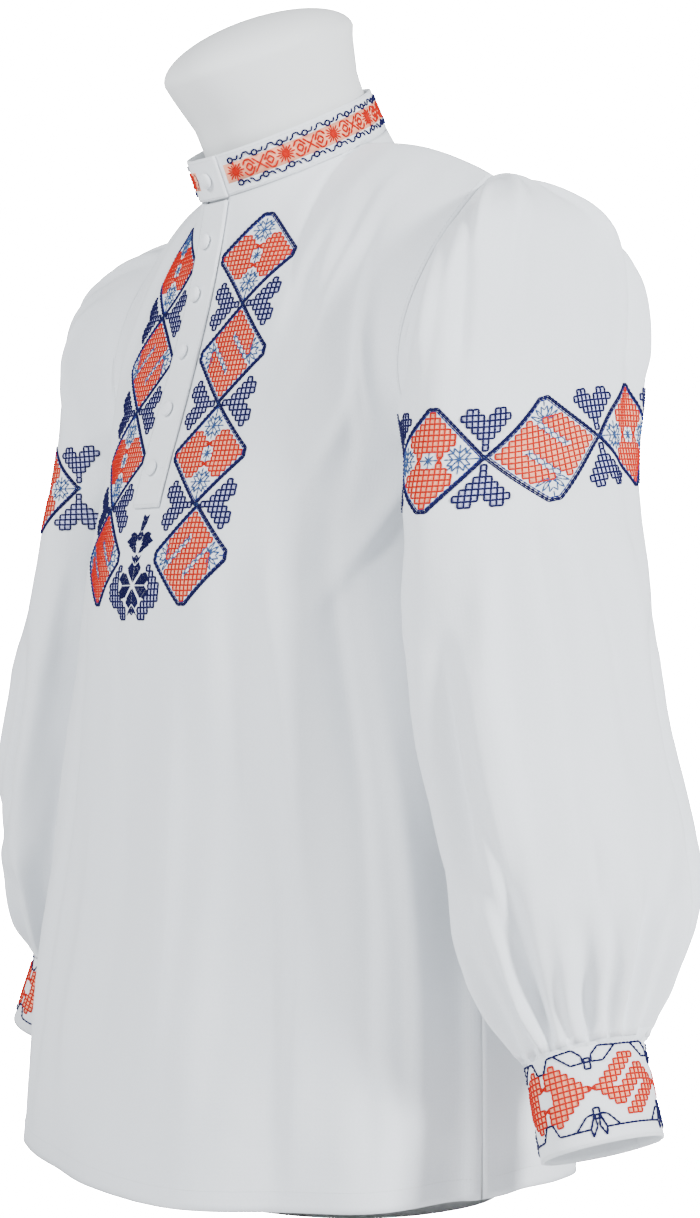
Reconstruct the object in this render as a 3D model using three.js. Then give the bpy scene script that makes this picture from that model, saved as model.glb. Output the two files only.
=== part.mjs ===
// A men's folk shirt with a stand collar, a short button placket, full sleeves gathered into cuffs and a
// flared hem, on a limbless dress form with a neck. Millimetres, +Z up, the front faces -Y and the wearer's
// left is +X. The origin is on the floor, under the middle of the form's flat base.
import * as THREE from "three";

// ---- Driving sizes ----------------------------------------------------------------------------------
const CLOTH = 1.6; // wall of one layer of cloth
const DOUBLE = 2.2; // wall of a folded hem, collar, cuff or placket
const SEAM_GAP = 0.4; // between two pieces that are sewn together
const LAY_GAP = 0.4; // between two layers that lie on each other
const STAND = 8; // how far the heights below are moved up, so that the form's base is on the floor
const HEM = { side: 15, front: -2, back: 12 }; // heights of the hem at the side seams and the middles
const HEM_FOLD = 15; // depth of the turned-up hem
const UNDERARM_Z = 505;
const VENT = 55; // length of the slit at the foot of each side seam
const VENT_GAP = 3;

// Neckline: a ring that is low at the throat and high at the nape, where body and collar meet.
const NECK = { y: -2, z: 722, halfWidth: 64, halfDepth: 68, rise: 32 };
const NECK_POINT = 105; // degrees from the throat to where the shoulder seam meets the neckline
const NECK_LEAN = Math.atan2(NECK.rise, NECK.halfDepth);
const COLLAR_HEIGHT = 30;
const COLLAR_LAP = { under: -10, over: 13, step: DOUBLE + LAY_GAP }; // degrees past the throat, and offset

// Shoulder tip, and the armhole, an egg that is wide below and narrow above.
const TIP = { x: 198, y: 22, z: 690 };
const ARMHOLE = { z: 597.5, halfHeight: 92.5, underarmX: 172, fore: 85, aft: 76, foreEgg: 0.45, aftEgg: 0.3 };

const PLACKET = { share: 0.047, foot: 474, halfWidth: 14.5 }; // share of the front's half that it takes
const BUTTON = { radius: 5.7, height: 4.2, sides: 10 };
const BUTTON_HEIGHTS = [659, 621, 580, 539, 497]; // centres on the placket

const CUFF = { height: 63, halfOut: 33, halfFore: 42, lap: 26, lean: 0.09, flare: 1 };
const GATHERS = 20; // round each cuff seam
const GATHER_DEPTH = 4.2;
const HEAD_GATHERS = 14; // over the top of each sleeve head

// Body sections below the underarm, by height: half width, reach to the front and back, where the side
// seam lies, and how square the section is.
const BODY = [
  { z: 0, half: 238, front: 165, back: 159.5, side: -20, square: 2.1 },
  { z: 90, half: 230, front: 159, back: 156, side: -13, square: 2.1 },
  { z: 185, half: 219, front: 148, back: 151, side: -6, square: 2.12 },
  { z: 280, half: 205, front: 139, back: 143, side: 1, square: 2.15 },
  { z: 350, half: 191, front: 139, back: 137, side: 7, square: 2.18 },
  { z: 420, half: 178, front: 139, back: 132, side: 13, square: 2.2 },
  { z: 474, half: 172, front: 127, back: 127, side: 17, square: 2.2 },
  { z: 505, half: 171, front: 118, back: 124, side: 20, square: 2.2 },
];

// Soft upright folds of the body: where on the half (-1 right side seam, 0 centre, 1 left side seam), the
// heights they run between, half width as a share, and depth outwards (negative is a trough).
const FRONT_FOLDS = [
  { at: -0.66, foot: -40, top: 430, width: 0.1, depth: -6 },
  { at: -0.45, foot: -60, top: 400, width: 0.12, depth: 6 },
  { at: -0.16, foot: -40, top: 380, width: 0.12, depth: -4 },
  { at: 0.2, foot: -60, top: 420, width: 0.13, depth: 5 },
  { at: 0.47, foot: -60, top: 470, width: 0.12, depth: -7 },
  { at: 0.7, foot: -60, top: 440, width: 0.12, depth: 8 },
  { at: 0.9, foot: -50, top: 400, width: 0.07, depth: -6 },
];
const BACK_FOLDS = [
  { at: -0.82, foot: -50, top: 450, width: 0.08, depth: -6 },
  { at: -0.58, foot: -60, top: 520, width: 0.11, depth: 8 },
  { at: -0.3, foot: -60, top: 560, width: 0.11, depth: -8 },
  { at: 0.02, foot: -60, top: 500, width: 0.14, depth: 7 },
  { at: 0.33, foot: -60, top: 545, width: 0.1, depth: -7 },
  { at: 0.6, foot: -60, top: 470, width: 0.11, depth: 8 },
  { at: 0.84, foot: -50, top: 430, width: 0.08, depth: -6 },
];

// Sleeve rings below the armhole: the inner point of the ring, its lean from upright, its half size away
// from the body and its half size fore and aft, and how far forward its middle lies. "down" is the share
// of the sleeve's way to the cuff.
const SLEEVE = [
  { down: 0, x: 172, z: 505, tilt: 8, out: 93, fore: 72, y: 22, square: 2.4 },
  { down: 0.05, x: 176, z: 501, tilt: 11.5, out: 95.5, fore: 79, y: 25, square: 2.6 },
  { down: 0.1, x: 178, z: 498, tilt: 16.5, out: 95, fore: 85, y: 28, square: 2.9 },
  { down: 0.16, x: 180, z: 494, tilt: 23, out: 90, fore: 90, y: 31, square: 3 },
  { down: 0.23, x: 182, z: 488, tilt: 30.5, out: 76, fore: 93, y: 31, square: 2.9 },
  { down: 0.3, x: 184, z: 478, tilt: 41, out: 60, fore: 93, y: 29, square: 2.5 },
  { down: 0.37, x: 186, z: 462, tilt: 57, out: 50, fore: 91, y: 24, square: 2.2 },
  { down: 0.45, x: 189, z: 432, tilt: 71, out: 50, fore: 91, y: 19, square: 2.1 },
  { down: 0.53, x: 194, z: 390, tilt: 76.5, out: 55, fore: 89, y: 15, square: 2 },
  { down: 0.61, x: 202, z: 340, tilt: 77, out: 59, fore: 88, y: 13, square: 2 },
  { down: 0.69, x: 212, z: 287, tilt: 77, out: 61.5, fore: 89, y: 12, square: 2 },
  { down: 0.77, x: 225, z: 230, tilt: 77, out: 63, fore: 90, y: 11, square: 2 },
  { down: 0.84, x: 236, z: 190, tilt: 76, out: 61, fore: 87, y: 10, square: 2 },
  { down: 0.9, x: 248, z: 157, tilt: 73, out: 54, fore: 76, y: 9, square: 2 },
  { down: 0.96, x: 262, z: 128, tilt: 70, out: 44, fore: 60, y: 7, square: 2 },
  { down: 1.0, x: 277.5, z: 105, tilt: 67, out: 35, fore: 44, y: 5, square: 2 },
];

// Long folds of a sleeve: degrees from the ring's top towards the front, shares of the way down between
// which they run, half width in degrees, and depth outwards.
const SLEEVE_FOLDS = [
  { at: 128, from: 0.5, to: 1.02, width: 17, depth: -9 },
  { at: 95, from: 0.3, to: 0.9, width: 22, depth: 5 },
  { at: 62, from: 0.72, to: 1.02, width: 11, depth: -6 },
  { at: 33, from: 0.76, to: 1.02, width: 10, depth: -5 },
  { at: -58, from: 0.5, to: 1.0, width: 13, depth: -8 },
  { at: -100, from: 0.35, to: 0.95, width: 20, depth: 5 },
  { at: -140, from: 0.6, to: 1.02, width: 15, depth: -7 },
];

// The dress form, base to rim: middle, lean, half width, half depth and squareness of each ring.
const FORM = [
  { y: 2, z: -8, lean: 0, half: 168, depth: 116, square: 2.3 },
  { y: 2, z: 120, lean: 0, half: 172, depth: 119, square: 2.3 },
  { y: 2, z: 230, lean: 0, half: 160, depth: 108, square: 2.2 },
  { y: 1, z: 320, lean: 0, half: 150, depth: 108, square: 2.2 },
  { y: 0, z: 420, lean: 0, half: 158, depth: 117, square: 2.2 },
  { y: 2, z: 505, lean: 0, half: 160, depth: 108, square: 2.2 },
  { y: 10, z: 580, lean: 0, half: 163, depth: 88, square: 2.1 },
  { y: 16, z: 630, lean: 0, half: 165, depth: 75, square: 1.9 },
  { y: 18, z: 660, lean: 0, half: 168, depth: 66, square: 1.75 },
  { y: 19, z: 680, lean: 0, half: 167, depth: 58, square: 1.5 },
  { y: 20, z: 693, lean: 2, half: 160, depth: 50, square: 1.3 },
  { y: 20, z: 704, lean: 6, half: 146, depth: 49, square: 1.15 },
  { y: 19, z: 712, lean: 12, half: 120, depth: 46, square: 1.1 },
  { y: 10, z: 716, lean: 17, half: 91, depth: 47, square: 1.15 },
  { y: 3.5, z: 720.5, lean: 22, half: 62.3, depth: 54, square: 1.8 },
  { y: -5, z: 737, lean: 25, half: 56, depth: 64, square: 2 },
  { y: -18, z: 765, lean: 24, half: 56, depth: 65, square: 2 },
  { y: -30, z: 789, lean: 23, half: 60, depth: 73, square: 2 },
  { y: -33, z: 797, lean: 22, half: 61.5, depth: 76, square: 2 },
];
const FORM_SIDES = 40;
const DOME = { height: 27, rings: [0.94, 0.8, 0.55] }; // the neck's rounded top, as shares of the rim

// ---- Curves and tables ------------------------------------------------------------------------------
const rad = THREE.MathUtils.degToRad;
const lerp = THREE.MathUtils.lerp;
const smooth = THREE.MathUtils.smoothstep; // (value, low, high)
const bell = (offset, width) => Math.exp(-((offset / width) ** 2));

// The named columns of a table as smooth functions of its first column: cubic pieces through every row.
function table(rows, by) {
  const at = rows.map((row) => row[by]);
  return (name, value) => {
    const v = rows.map((row) => row[name]);
    const last = rows.length - 1;
    const k = Math.min(Math.max(at.findIndex((x) => x > value) - 1, 0), last - 1);
    const here = value >= at[last] ? last - 1 : k;
    const slope = (i) => {
      const low = Math.max(i - 1, 0);
      const high = Math.min(i + 1, last);
      return (v[high] - v[low]) / (at[high] - at[low]);
    };
    const span = at[here + 1] - at[here];
    const t = (value - at[here]) / span;
    const [a, b] = [slope(here) * span, slope(here + 1) * span];
    const rise = v[here + 1] - v[here];
    return v[here] + t * a + t * t * (3 * rise - 2 * a - b) + t ** 3 * (a + b - 2 * rise);
  };
}
const body = table(BODY, "z");
const sleeveAt = table(SLEEVE, "down");

// One quarter-turn law for every section: angle in degrees from the middle of the face to its side.
function section(angle, half, depth, square) {
  const [s, c] = [Math.sin(rad(angle)), Math.cos(rad(angle))];
  const power = 2 / square;
  return [Math.sign(s) * half * Math.abs(s) ** power, Math.sign(c) * depth * Math.abs(c) ** power];
}

const foldSum = (folds, at, height) =>
  folds.reduce((sum, f) => {
    const along = smooth(height, f.foot, f.foot + 60) * (1 - smooth(height, (f.foot + f.top) / 2, f.top));
    return sum + f.depth * bell(at - f.at, f.width) * along;
  }, 0);

// ---- The body ---------------------------------------------------------------------------------------
// facing is -1 for the front and 1 for the back. share runs from -1 at the wearer's right side to 1 at
// the left; level runs from 0 at the hem to 1 at the underarm and 2 at the shoulder and neckline.
function neckline(angle) {
  const [s, c] = [Math.sin(rad(angle)), Math.cos(rad(angle))];
  return new THREE.Vector3(NECK.halfWidth * s, NECK.y - NECK.halfDepth * c, NECK.z - NECK.rise * c);
}

// angle is 0 at the shoulder tip, 90 at the front (facing -1) or back, and 180 at the underarm.
function armhole(angle, facing, side) {
  const [s, c] = [Math.sin(rad(angle)), Math.cos(rad(angle))];
  const low = (1 - c) / 2;
  const [wide, egg] = facing < 0 ? [ARMHOLE.fore, ARMHOLE.foreEgg] : [ARMHOLE.aft, ARMHOLE.aftEgg];
  const reach = wide * (0.02 + 0.98 * low) ** egg;
  const x = lerp(TIP.x, ARMHOLE.underarmX, low);
  return new THREE.Vector3(side * x, TIP.y + facing * reach * s, ARMHOLE.z + ARMHOLE.halfHeight * c);
}

function bodySection(share, z, facing) {
  const seam = body("side", z);
  const reach = body(facing < 0 ? "front" : "back", z) - facing * seam;
  const [x, y] = section(share * 90, body("half", z), reach, body("square", z));
  return new THREE.Vector3(x, seam + facing * y, z);
}

const NECK_SHARE = 0.4; // the neckline's share of the front's and back's top edge

function topEdge(share, facing) {
  const s = Math.abs(share);
  const side = Math.sign(share) || 1;
  const span = facing < 0 ? NECK_POINT : 180 - NECK_POINT;
  if (s <= NECK_SHARE) {
    const angle = (s / NECK_SHARE) * span;
    return neckline(side * (facing < 0 ? angle : 180 - angle));
  }
  const along = (s - NECK_SHARE) / (1 - NECK_SHARE);
  const start = neckline(side * NECK_POINT);
  const tip = new THREE.Vector3(side * TIP.x, TIP.y, TIP.z);
  const arch = 8 * Math.sin(Math.PI * along); // the shoulder's own crown
  return start.lerp(tip, along).add(new THREE.Vector3(0, 0, arch));
}

// How the cloth leaves the underarm's level and arrives at the top edge, at the middle and at the tip of
// the shoulder: steps back and up.
const PULL = {
  [-1]: { lowMiddle: [61, 185], highMiddle: [28, 185], lowTip: [60, 300], highTip: [175, 50] },
  [1]: { lowMiddle: [-10, 220], highMiddle: [-75, 200], lowTip: [-12, 380], highTip: [-190, 20] },
};

function upperBody(share, t, facing) {
  const start = bodySection(share, UNDERARM_Z, facing);
  const end = topEdge(share, facing);
  const s = Math.abs(share);
  const shoulder = smooth(s, 0.05, NECK_SHARE + 0.04);
  const blend = (middle, tip) => new THREE.Vector3(0, ...middle.map((m, i) => lerp(m, tip[i], shoulder)));
  const pull = PULL[facing];
  const low = blend(pull.lowMiddle, pull.lowTip);
  const high = blend(pull.highMiddle, pull.highTip);
  const [t2, t3] = [t * t, t * t * t];
  const p = new THREE.Vector3()
    .addScaledVector(start, 2 * t3 - 3 * t2 + 1)
    .addScaledVector(low, t3 - 2 * t2 + t)
    .addScaledVector(end, 3 * t2 - 2 * t3)
    .addScaledVector(high, t3 - t2);
  return p;
}

function bodyPoint(share, level, facing) {
  const side = Math.sign(share) || 1;
  let p;
  if (level <= 1) {
    const hem = lerp(facing < 0 ? HEM.front : HEM.back, HEM.side, (1 - Math.cos(Math.PI * share)) / 2);
    const z = lerp(hem, UNDERARM_Z, level);
    p = bodySection(share, z, facing);
  } else {
    const t = level - 1;
    p = upperBody(share, t, facing);
    const edge = armhole(180 * (1 - t), facing, side).sub(upperBody(side, t, facing));
    p.addScaledVector(edge, Math.abs(share) ** 3.2);
  }
  const folds = facing < 0 ? FRONT_FOLDS : BACK_FOLDS;
  const seamFade = 1 - smooth(Math.abs(share), 0.93, 1);
  const depth = foldSum(folds, share, p.z) * seamFade;
  const out = new THREE.Vector2(p.x / body("half", 0), facing * 0.9).normalize();
  p.x += out.x * depth;
  p.y += out.y * depth;
  const gap = SEAM_GAP / 2 + VENT_GAP * (1 - smooth(p.z, HEM.side, HEM.side + VENT)) * smooth(Math.abs(share), 0.9, 1);
  p.y += facing * gap;
  return p;
}

// ---- Walls ------------------------------------------------------------------------------------------
const slope = (place, u, v, du, dv) => place(u + du, v + dv).sub(place(u - du, v - dv));

// The outward normal of a surface place(u, v) at one point; turn is 1 or -1.
function normalAt(place, u, v, turn, step = 1e-3) {
  const along = slope(place, u, v, step, 0);
  const across = slope(place, u, v, 0, step);
  return along.cross(across).multiplyScalar(turn).normalize();
}

// The mean normal of the cells round a grid's point: columns run along x and rows up.
function gridNormal(grid, r, c) {
  const sum = new THREE.Vector3();
  for (const row of [r - 1, r]) {
    for (const column of [c - 1, c]) {
      const [low, high] = [grid[row], grid[row + 1]];
      if (!low?.[column] || !high?.[column + 1]) continue;
      const rising = high[column + 1].clone().sub(low[column]);
      sum.add(rising.cross(high[column].clone().sub(low[column + 1])).normalize());
    }
  }
  return sum.normalize();
}

// A closed wall over a grid of outer points and inner points. kept(row, column) says which cells exist,
// and the cells left of the middle column are split by the other diagonal.
function wall(outer, inner, closed = false, kept = () => true, middle = 0) {
  const rows = outer.length;
  const columns = outer[0].length;
  const cellColumns = closed ? columns : columns - 1;
  const positions = [...outer.flat(), ...inner.flat()].flatMap((p) => [p.x, p.y, p.z]);
  const faces = [];
  const index = (r, c, layer) => layer * rows * columns + r * columns + (c % columns);
  const quad = (a, b, c, d) => faces.push(a, b, c, a, c, d);
  const mirrored = (a, b, c, d) => faces.push(b, c, d, b, d, a);
  const has = (r, c) => {
    if (r < 0 || r >= rows - 1) return false;
    if (closed) return kept(r, (c + columns) % columns);
    return c >= 0 && c < cellColumns && kept(r, c);
  };
  for (let r = 0; r < rows - 1; r++) {
    for (let c = 0; c < cellColumns; c++) {
      if (!has(r, c)) continue;
      const corners = (layer) => [
        index(r, c, layer), index(r, c + 1, layer), index(r + 1, c + 1, layer), index(r + 1, c, layer),
      ];
      const [o, i] = [corners(0), corners(1)];
      const split = c < middle ? mirrored : quad;
      split(...o);
      if (c < middle) quad(i[3], i[2], i[1], i[0]);
      else quad(i[0], i[3], i[2], i[1]);
      const beside = [has(r - 1, c), has(r, c + 1), has(r + 1, c), has(r, c - 1)];
      beside.forEach((there, k) => {
        const n = (k + 1) % 4;
        if (!there) quad(o[n], o[k], i[k], i[n]);
      });
    }
  }
  return facingOut(positions, faces);
}

// Turns every face round if the mesh is inside out, and drops vertices that no face uses.
function facingOut(positions, faces) {
  const point = (i) => new THREE.Vector3(positions[3 * i], positions[3 * i + 1], positions[3 * i + 2]);
  let volume = 0;
  for (let f = 0; f < faces.length; f += 3) {
    volume += point(faces[f]).dot(point(faces[f + 1]).cross(point(faces[f + 2])));
  }
  if (volume < 0) faces.reverse();
  const geometry = new THREE.BufferGeometry();
  geometry.setAttribute("position", new THREE.Float32BufferAttribute(positions, 3));
  geometry.setIndex(faces);
  const drawn = geometry.toNonIndexed();
  drawn.computeVertexNormals();
  return drawn;
}

const steps = (from, to, count) => Array.from({ length: count + 1 }, (_, i) => lerp(from, to, i / count));

// ---- Materials --------------------------------------------------------------------------------------
const cotton = new THREE.MeshStandardMaterial({ color: 0xdfe2e4, roughness: 0.85, metalness: 0 });
const formSkin = new THREE.MeshStandardMaterial({ color: 0xe4e4e1, roughness: 0.6, metalness: 0 });

const shirt = new THREE.Group();
function add(name, geometry, material = cotton) {
  const mesh = new THREE.Mesh(geometry, material);
  mesh.name = name;
  mesh.position.z = STAND;
  shirt.add(mesh);
  return mesh;
}

// ---- Front and back ---------------------------------------------------------------------------------
const levelOf = (z) => (z - HEM.front) / (UNDERARM_Z - HEM.front);
const LOWER_LEVELS = [
  0, levelOf(HEM.front + HEM_FOLD), levelOf(70), levelOf(130), levelOf(190), levelOf(250), levelOf(310),
  levelOf(370), levelOf(424), levelOf(PLACKET.foot),
];
const UPPER_LEVELS = steps(1, 2, 8);

function panel(facing) {
  const half = steps(PLACKET.share, 1, facing < 0 ? 12 : 11);
  const shares = [...half.map((s) => -s).reverse(), 0, ...half];
  const levels = [...LOWER_LEVELS, ...UPPER_LEVELS];
  const place = (share, level) => bodyPoint(share, level, facing);
  const outer = levels.map((level) => shares.map((share) => place(share, level)));
  const inner = outer.map((row, r) =>
    row.map((point, c) => {
      const n = gridNormal(outer, r, c).multiplyScalar(-facing);
      const share = shares[c];
      // Edges that meet another piece keep clear of it.
      if (Math.abs(share) === 1 && n.x * share < 0) n.x = 0;
      if (Math.abs(share) === 1 && levels[r] <= 1) n.y = 0;
      if (levels[r] === 2 && Math.abs(share) > NECK_SHARE) n.y = 0;
      return point.clone().addScaledVector(n.normalize(), r < 2 ? -DOUBLE : -CLOTH);
    }),
  );
  const foot = levels.indexOf(levelOf(PLACKET.foot));
  const middle = half.length - 1;
  const slit = (r, c) => facing < 0 && r >= foot && (c === middle || c === middle + 1);
  return wall(outer, inner, false, (r, c) => !slit(r, c), half.length);
}
add("front", panel(-1));
add("back", panel(1));

// ---- Placket ----------------------------------------------------------------------------------------
const frontPlace = (share, level) => bodyPoint(share, level, -1);
const placketShare = (x) => (PLACKET.share * x) / PLACKET.halfWidth;

// A band of the front's own points, moved out by lift, between two distances from the centre line.
function band(fromX, toX, fromLevel, toLevel, lift, thick) {
  const shares = [fromX, (fromX + toX) / 2, toX].map(placketShare);
  const levels = steps(fromLevel, toLevel, 12);
  const layer = (depth) =>
    levels.map((level) =>
      shares.map((share) => {
        const n = normalAt(frontPlace, share, Math.min(level, 1.985), 1);
        return frontPlace(share, level).addScaledVector(n, depth);
      }),
    );
  return wall(layer(lift + thick), layer(lift));
}
const PLACKET_TOP = 1.985;
add("placket_under", band(-13.4, 13.4, levelOf(PLACKET.foot) + 0.004, PLACKET_TOP, -CLOTH, CLOTH));
add("placket_over", band(-13.5, 15.5, levelOf(PLACKET.foot) - 0.02, PLACKET_TOP, LAY_GAP, DOUBLE));

// ---- Collar -----------------------------------------------------------------------------------------
const neckAxis = new THREE.Vector3(0, -Math.sin(NECK_LEAN), Math.cos(NECK_LEAN));

// The outer face of the collar at an angle from the throat, and a height along the neck's axis.
function collarPoint(angle, height, inset) {
  const base = neckline(angle);
  const centre = new THREE.Vector3(0, NECK.y, NECK.z);
  const outward = base.clone().sub(centre).normalize();
  const lap = COLLAR_LAP.step * smooth(angle, 300, 342);
  const taper = -1.5 * (height / COLLAR_HEIGHT);
  return base
    .addScaledVector(outward, lap + taper - inset)
    .addScaledVector(neckAxis, 1.5 * SEAM_GAP + height);
}
const collarLayer = (inset) =>
  steps(0, COLLAR_HEIGHT, 2).map((height) =>
    steps(COLLAR_LAP.under, 360 + COLLAR_LAP.over, 56).map((angle) => collarPoint(angle, height, inset)),
  );
add("collar", wall(collarLayer(0), collarLayer(DOUBLE)));

// ---- Sleeves ----------------------------------------------------------------------------------------
const SLEEVE_SIDES = GATHERS * 3;
const SLEEVE_DOWNS = [...SLEEVE.map((row) => row.down), 0.02, 0.87, 0.93].sort((a, b) => a - b);

// angle is 0 at the ring's top, 90 at the front and 180 at the underarm. ripple is 0 for the plain tube.
function sleevePoint(angle, down, side, ripple = 1) {
  const turn = THREE.MathUtils.euclideanModulo(angle + 180, 360) - 180;
  const first = armhole(Math.abs(turn), turn < 0 ? 1 : -1, 1);
  const at = down;
  const tilt = rad(sleeveAt("tilt", at));
  const up = new THREE.Vector3(Math.sin(tilt), 0, Math.cos(tilt));
  const long = SLEEVE_FOLDS.reduce((sum, f) => {
    const off = THREE.MathUtils.euclideanModulo(turn - f.at + 180, 360) - 180;
    const along = smooth(at, f.from, f.from + 0.12) * (1 - smooth(at, f.to - 0.06, f.to));
    return sum + f.depth * bell(off, f.width) * along;
  }, 0);
  const gathering = smooth(at, 0.78, 0.95) * (1 - 0.45 * smooth(at, 0.96, 1));
  const wave = Math.cos(rad(angle * GATHERS)) * GATHER_DEPTH * gathering;
  const head = bell(at - 0.06, 0.06) * smooth(Math.cos(rad(angle)), -0.2, 0.6);
  const puff = Math.cos(rad(angle * HEAD_GATHERS)) * 1.6 * head;
  const more = ripple * (wave + long + puff);
  const [out, fore] = [sleeveAt("out", at) + more, sleeveAt("fore", at) + more];
  const [across, along] = section(turn, fore, out, sleeveAt("square", at));
  const ring = new THREE.Vector3(sleeveAt("x", at), 0, sleeveAt("z", at));
  ring.addScaledVector(up, sleeveAt("out", at) + along);
  ring.y = sleeveAt("y", at) + lerp(first.y - TIP.y, -across, smooth(at, 0, 0.2));
  const p = first.lerp(ring, smooth(at, 0, 0.05));
  p.x = side * (p.x + SEAM_GAP);
  return p;
}

function sleeve(side) {
  const angles = steps(0, 360, SLEEVE_SIDES).slice(0, -1);
  const plain = (angle, down) => sleevePoint(angle, down, side, 0);
  const outer = SLEEVE_DOWNS.map((down) => angles.map((angle) => sleevePoint(angle, down, side)));
  const inner = SLEEVE_DOWNS.map((down, r) =>
    angles.map((angle, c) => {
      const d = THREE.MathUtils.clamp(down, 0.02, 0.985);
      const along = slope(plain, angle, d, 2, 0);
      const across = slope(plain, angle, d, 0, 0.01);
      const n = along.cross(across).normalize().multiplyScalar(side);
      if (down === 0 && n.x * side > 0) n.x = 0;
      return outer[r][c].clone().addScaledVector(n.normalize(), -CLOTH);
    }),
  );
  return wall(outer, inner, true);
}
for (const [name, side] of [["left", 1], ["right", -1]]) add(`sleeve_${name}`, sleeve(side));

// ---- Cuffs ------------------------------------------------------------------------------------------
// A strip that starts at the back under its own end: angle runs past a full turn by the lap.
const CUFF_START = 250;
function cuffPoint(angle, drop, side, inset) {
  const last = SLEEVE[SLEEVE.length - 1];
  const tilt = rad(last.tilt);
  const up = new THREE.Vector3(Math.sin(tilt), 0, Math.cos(tilt));
  const down = new THREE.Vector3(Math.cos(tilt), -CUFF.lean, -Math.sin(tilt));
  const centre = new THREE.Vector3(last.x, last.y, last.z).addScaledVector(up, last.out);
  const lap = (DOUBLE + LAY_GAP) * smooth(angle, CUFF_START + 290, CUFF_START + 345);
  const grow = lap - inset + CUFF.flare * (drop / CUFF.height);
  const [s, c] = [Math.sin(rad(angle)), Math.cos(rad(angle))];
  const p = centre
    .addScaledVector(up, (CUFF.halfOut + grow) * c)
    .addScaledVector(down, SEAM_GAP + drop)
    .add(new THREE.Vector3(0, -(CUFF.halfFore + grow) * s, 0));
  p.x = side * (p.x + SEAM_GAP);
  return p;
}

function cuff(side) {
  const layer = (inset) =>
    steps(0, CUFF.height, 2).map((drop) =>
      steps(CUFF_START, CUFF_START + 360 + CUFF.lap, 42).map((angle) => cuffPoint(angle, drop, side, inset)),
    );
  return wall(layer(0), layer(DOUBLE));
}
for (const [name, side] of [["left", 1], ["right", -1]]) add(`cuff_${name}`, cuff(side));

// ---- Buttons ----------------------------------------------------------------------------------------
// A cloth-covered dome, seated on a surface: its own +Y turns to the surface's normal.
function button(name, point, normal) {
  const { radius, height, sides } = BUTTON;
  const profile = [
    [0, 0], [radius * 0.72, 0], [radius, height * 0.35], [radius * 0.86, height * 0.7],
    [radius * 0.5, height * 0.93], [0, height],
  ].map(([x, y]) => new THREE.Vector2(x, y));
  const mesh = add(name, new THREE.LatheGeometry(profile, sides));
  mesh.position.add(point).addScaledVector(normal, LAY_GAP);
  mesh.quaternion.setFromUnitVectors(new THREE.Vector3(0, 1, 0), normal);
}

const placketFace = LAY_GAP + DOUBLE;
BUTTON_HEIGHTS.forEach((z, i) => {
  let level = levelOf(PLACKET.foot);
  while (frontPlace(0, level).z < z) level += 0.0005;
  const n = normalAt(frontPlace, 0, Math.min(level, 1.985), 1);
  button(`button_${i + 1}`, frontPlace(0, level).addScaledVector(n, placketFace), n);
});

const COLLAR_BUTTON_ANGLE = 361;
const collarFace = (angle, height) => collarPoint(angle, height, 0);
const collarNormal = slope(collarFace, COLLAR_BUTTON_ANGLE, COLLAR_HEIGHT / 2, 1, 0)
  .cross(slope(collarFace, COLLAR_BUTTON_ANGLE, COLLAR_HEIGHT / 2, 0, 1))
  .normalize();
button("button_collar", collarFace(COLLAR_BUTTON_ANGLE, COLLAR_HEIGHT / 2), collarNormal);

const CUFF_BUTTON_ANGLE = CUFF_START + 360 + CUFF.lap / 2 - 4;
for (const [name, side] of [["left", 1], ["right", -1]]) {
  const face = (angle, drop) => cuffPoint(angle, drop, side, 0);
  const n = slope(face, CUFF_BUTTON_ANGLE, CUFF.height / 2, 1, 0)
    .cross(slope(face, CUFF_BUTTON_ANGLE, CUFF.height / 2, 0, 1))
    .normalize()
    .multiplyScalar(side);
  button(`button_cuff_${name}`, face(CUFF_BUTTON_ANGLE, CUFF.height / 2), n);
}

// ---- Dress form -------------------------------------------------------------------------------------
function formRing({ y, z, lean, half, depth, square }) {
  return steps(0, 360, FORM_SIDES)
    .slice(0, -1)
    .map((angle) => {
      const [x, d] = section(angle, half, depth, square);
      const tilt = rad(lean);
      return new THREE.Vector3(x, y - d * Math.cos(tilt), z - d * Math.sin(tilt));
    });
}

function dressForm() {
  const rings = FORM.map(formRing);
  const rim = FORM[FORM.length - 1];
  const tilt = rad(rim.lean);
  const axis = new THREE.Vector3(0, -Math.sin(tilt), Math.cos(tilt));
  DOME.rings.forEach((share) => {
    const height = DOME.height * Math.sqrt(1 - share * share);
    const { half, depth } = rim;
    const ring = formRing({ ...rim, half: half * share, depth: depth * share });
    rings.push(ring.map((p) => p.addScaledVector(axis, height)));
  });
  const positions = rings.flat().flatMap((p) => [p.x, p.y, p.z]);
  const faces = [];
  const index = (r, c) => r * FORM_SIDES + (c % FORM_SIDES);
  for (let r = 0; r < rings.length - 1; r++) {
    for (let c = 0; c < FORM_SIDES; c++) {
      faces.push(index(r, c), index(r, c + 1), index(r + 1, c + 1));
      faces.push(index(r, c), index(r + 1, c + 1), index(r + 1, c));
    }
  }
  const foot = positions.length / 3;
  const crown = new THREE.Vector3(0, rim.y, rim.z).addScaledVector(axis, DOME.height);
  positions.push(0, FORM[0].y, FORM[0].z, crown.x, crown.y, crown.z);
  for (let c = 0; c < FORM_SIDES; c++) {
    faces.push(foot, index(0, c + 1), index(0, c));
    faces.push(foot + 1, index(rings.length - 1, c), index(rings.length - 1, c + 1));
  }
  return facingOut(positions, faces);
}
add("dress_form", dressForm(), formSkin);

export default shirt;
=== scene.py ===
import bmesh
import bpy
import numpy as np
from mathutils import Matrix, Vector, noise
from mathutils.bvhtree import BVHTree


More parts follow.
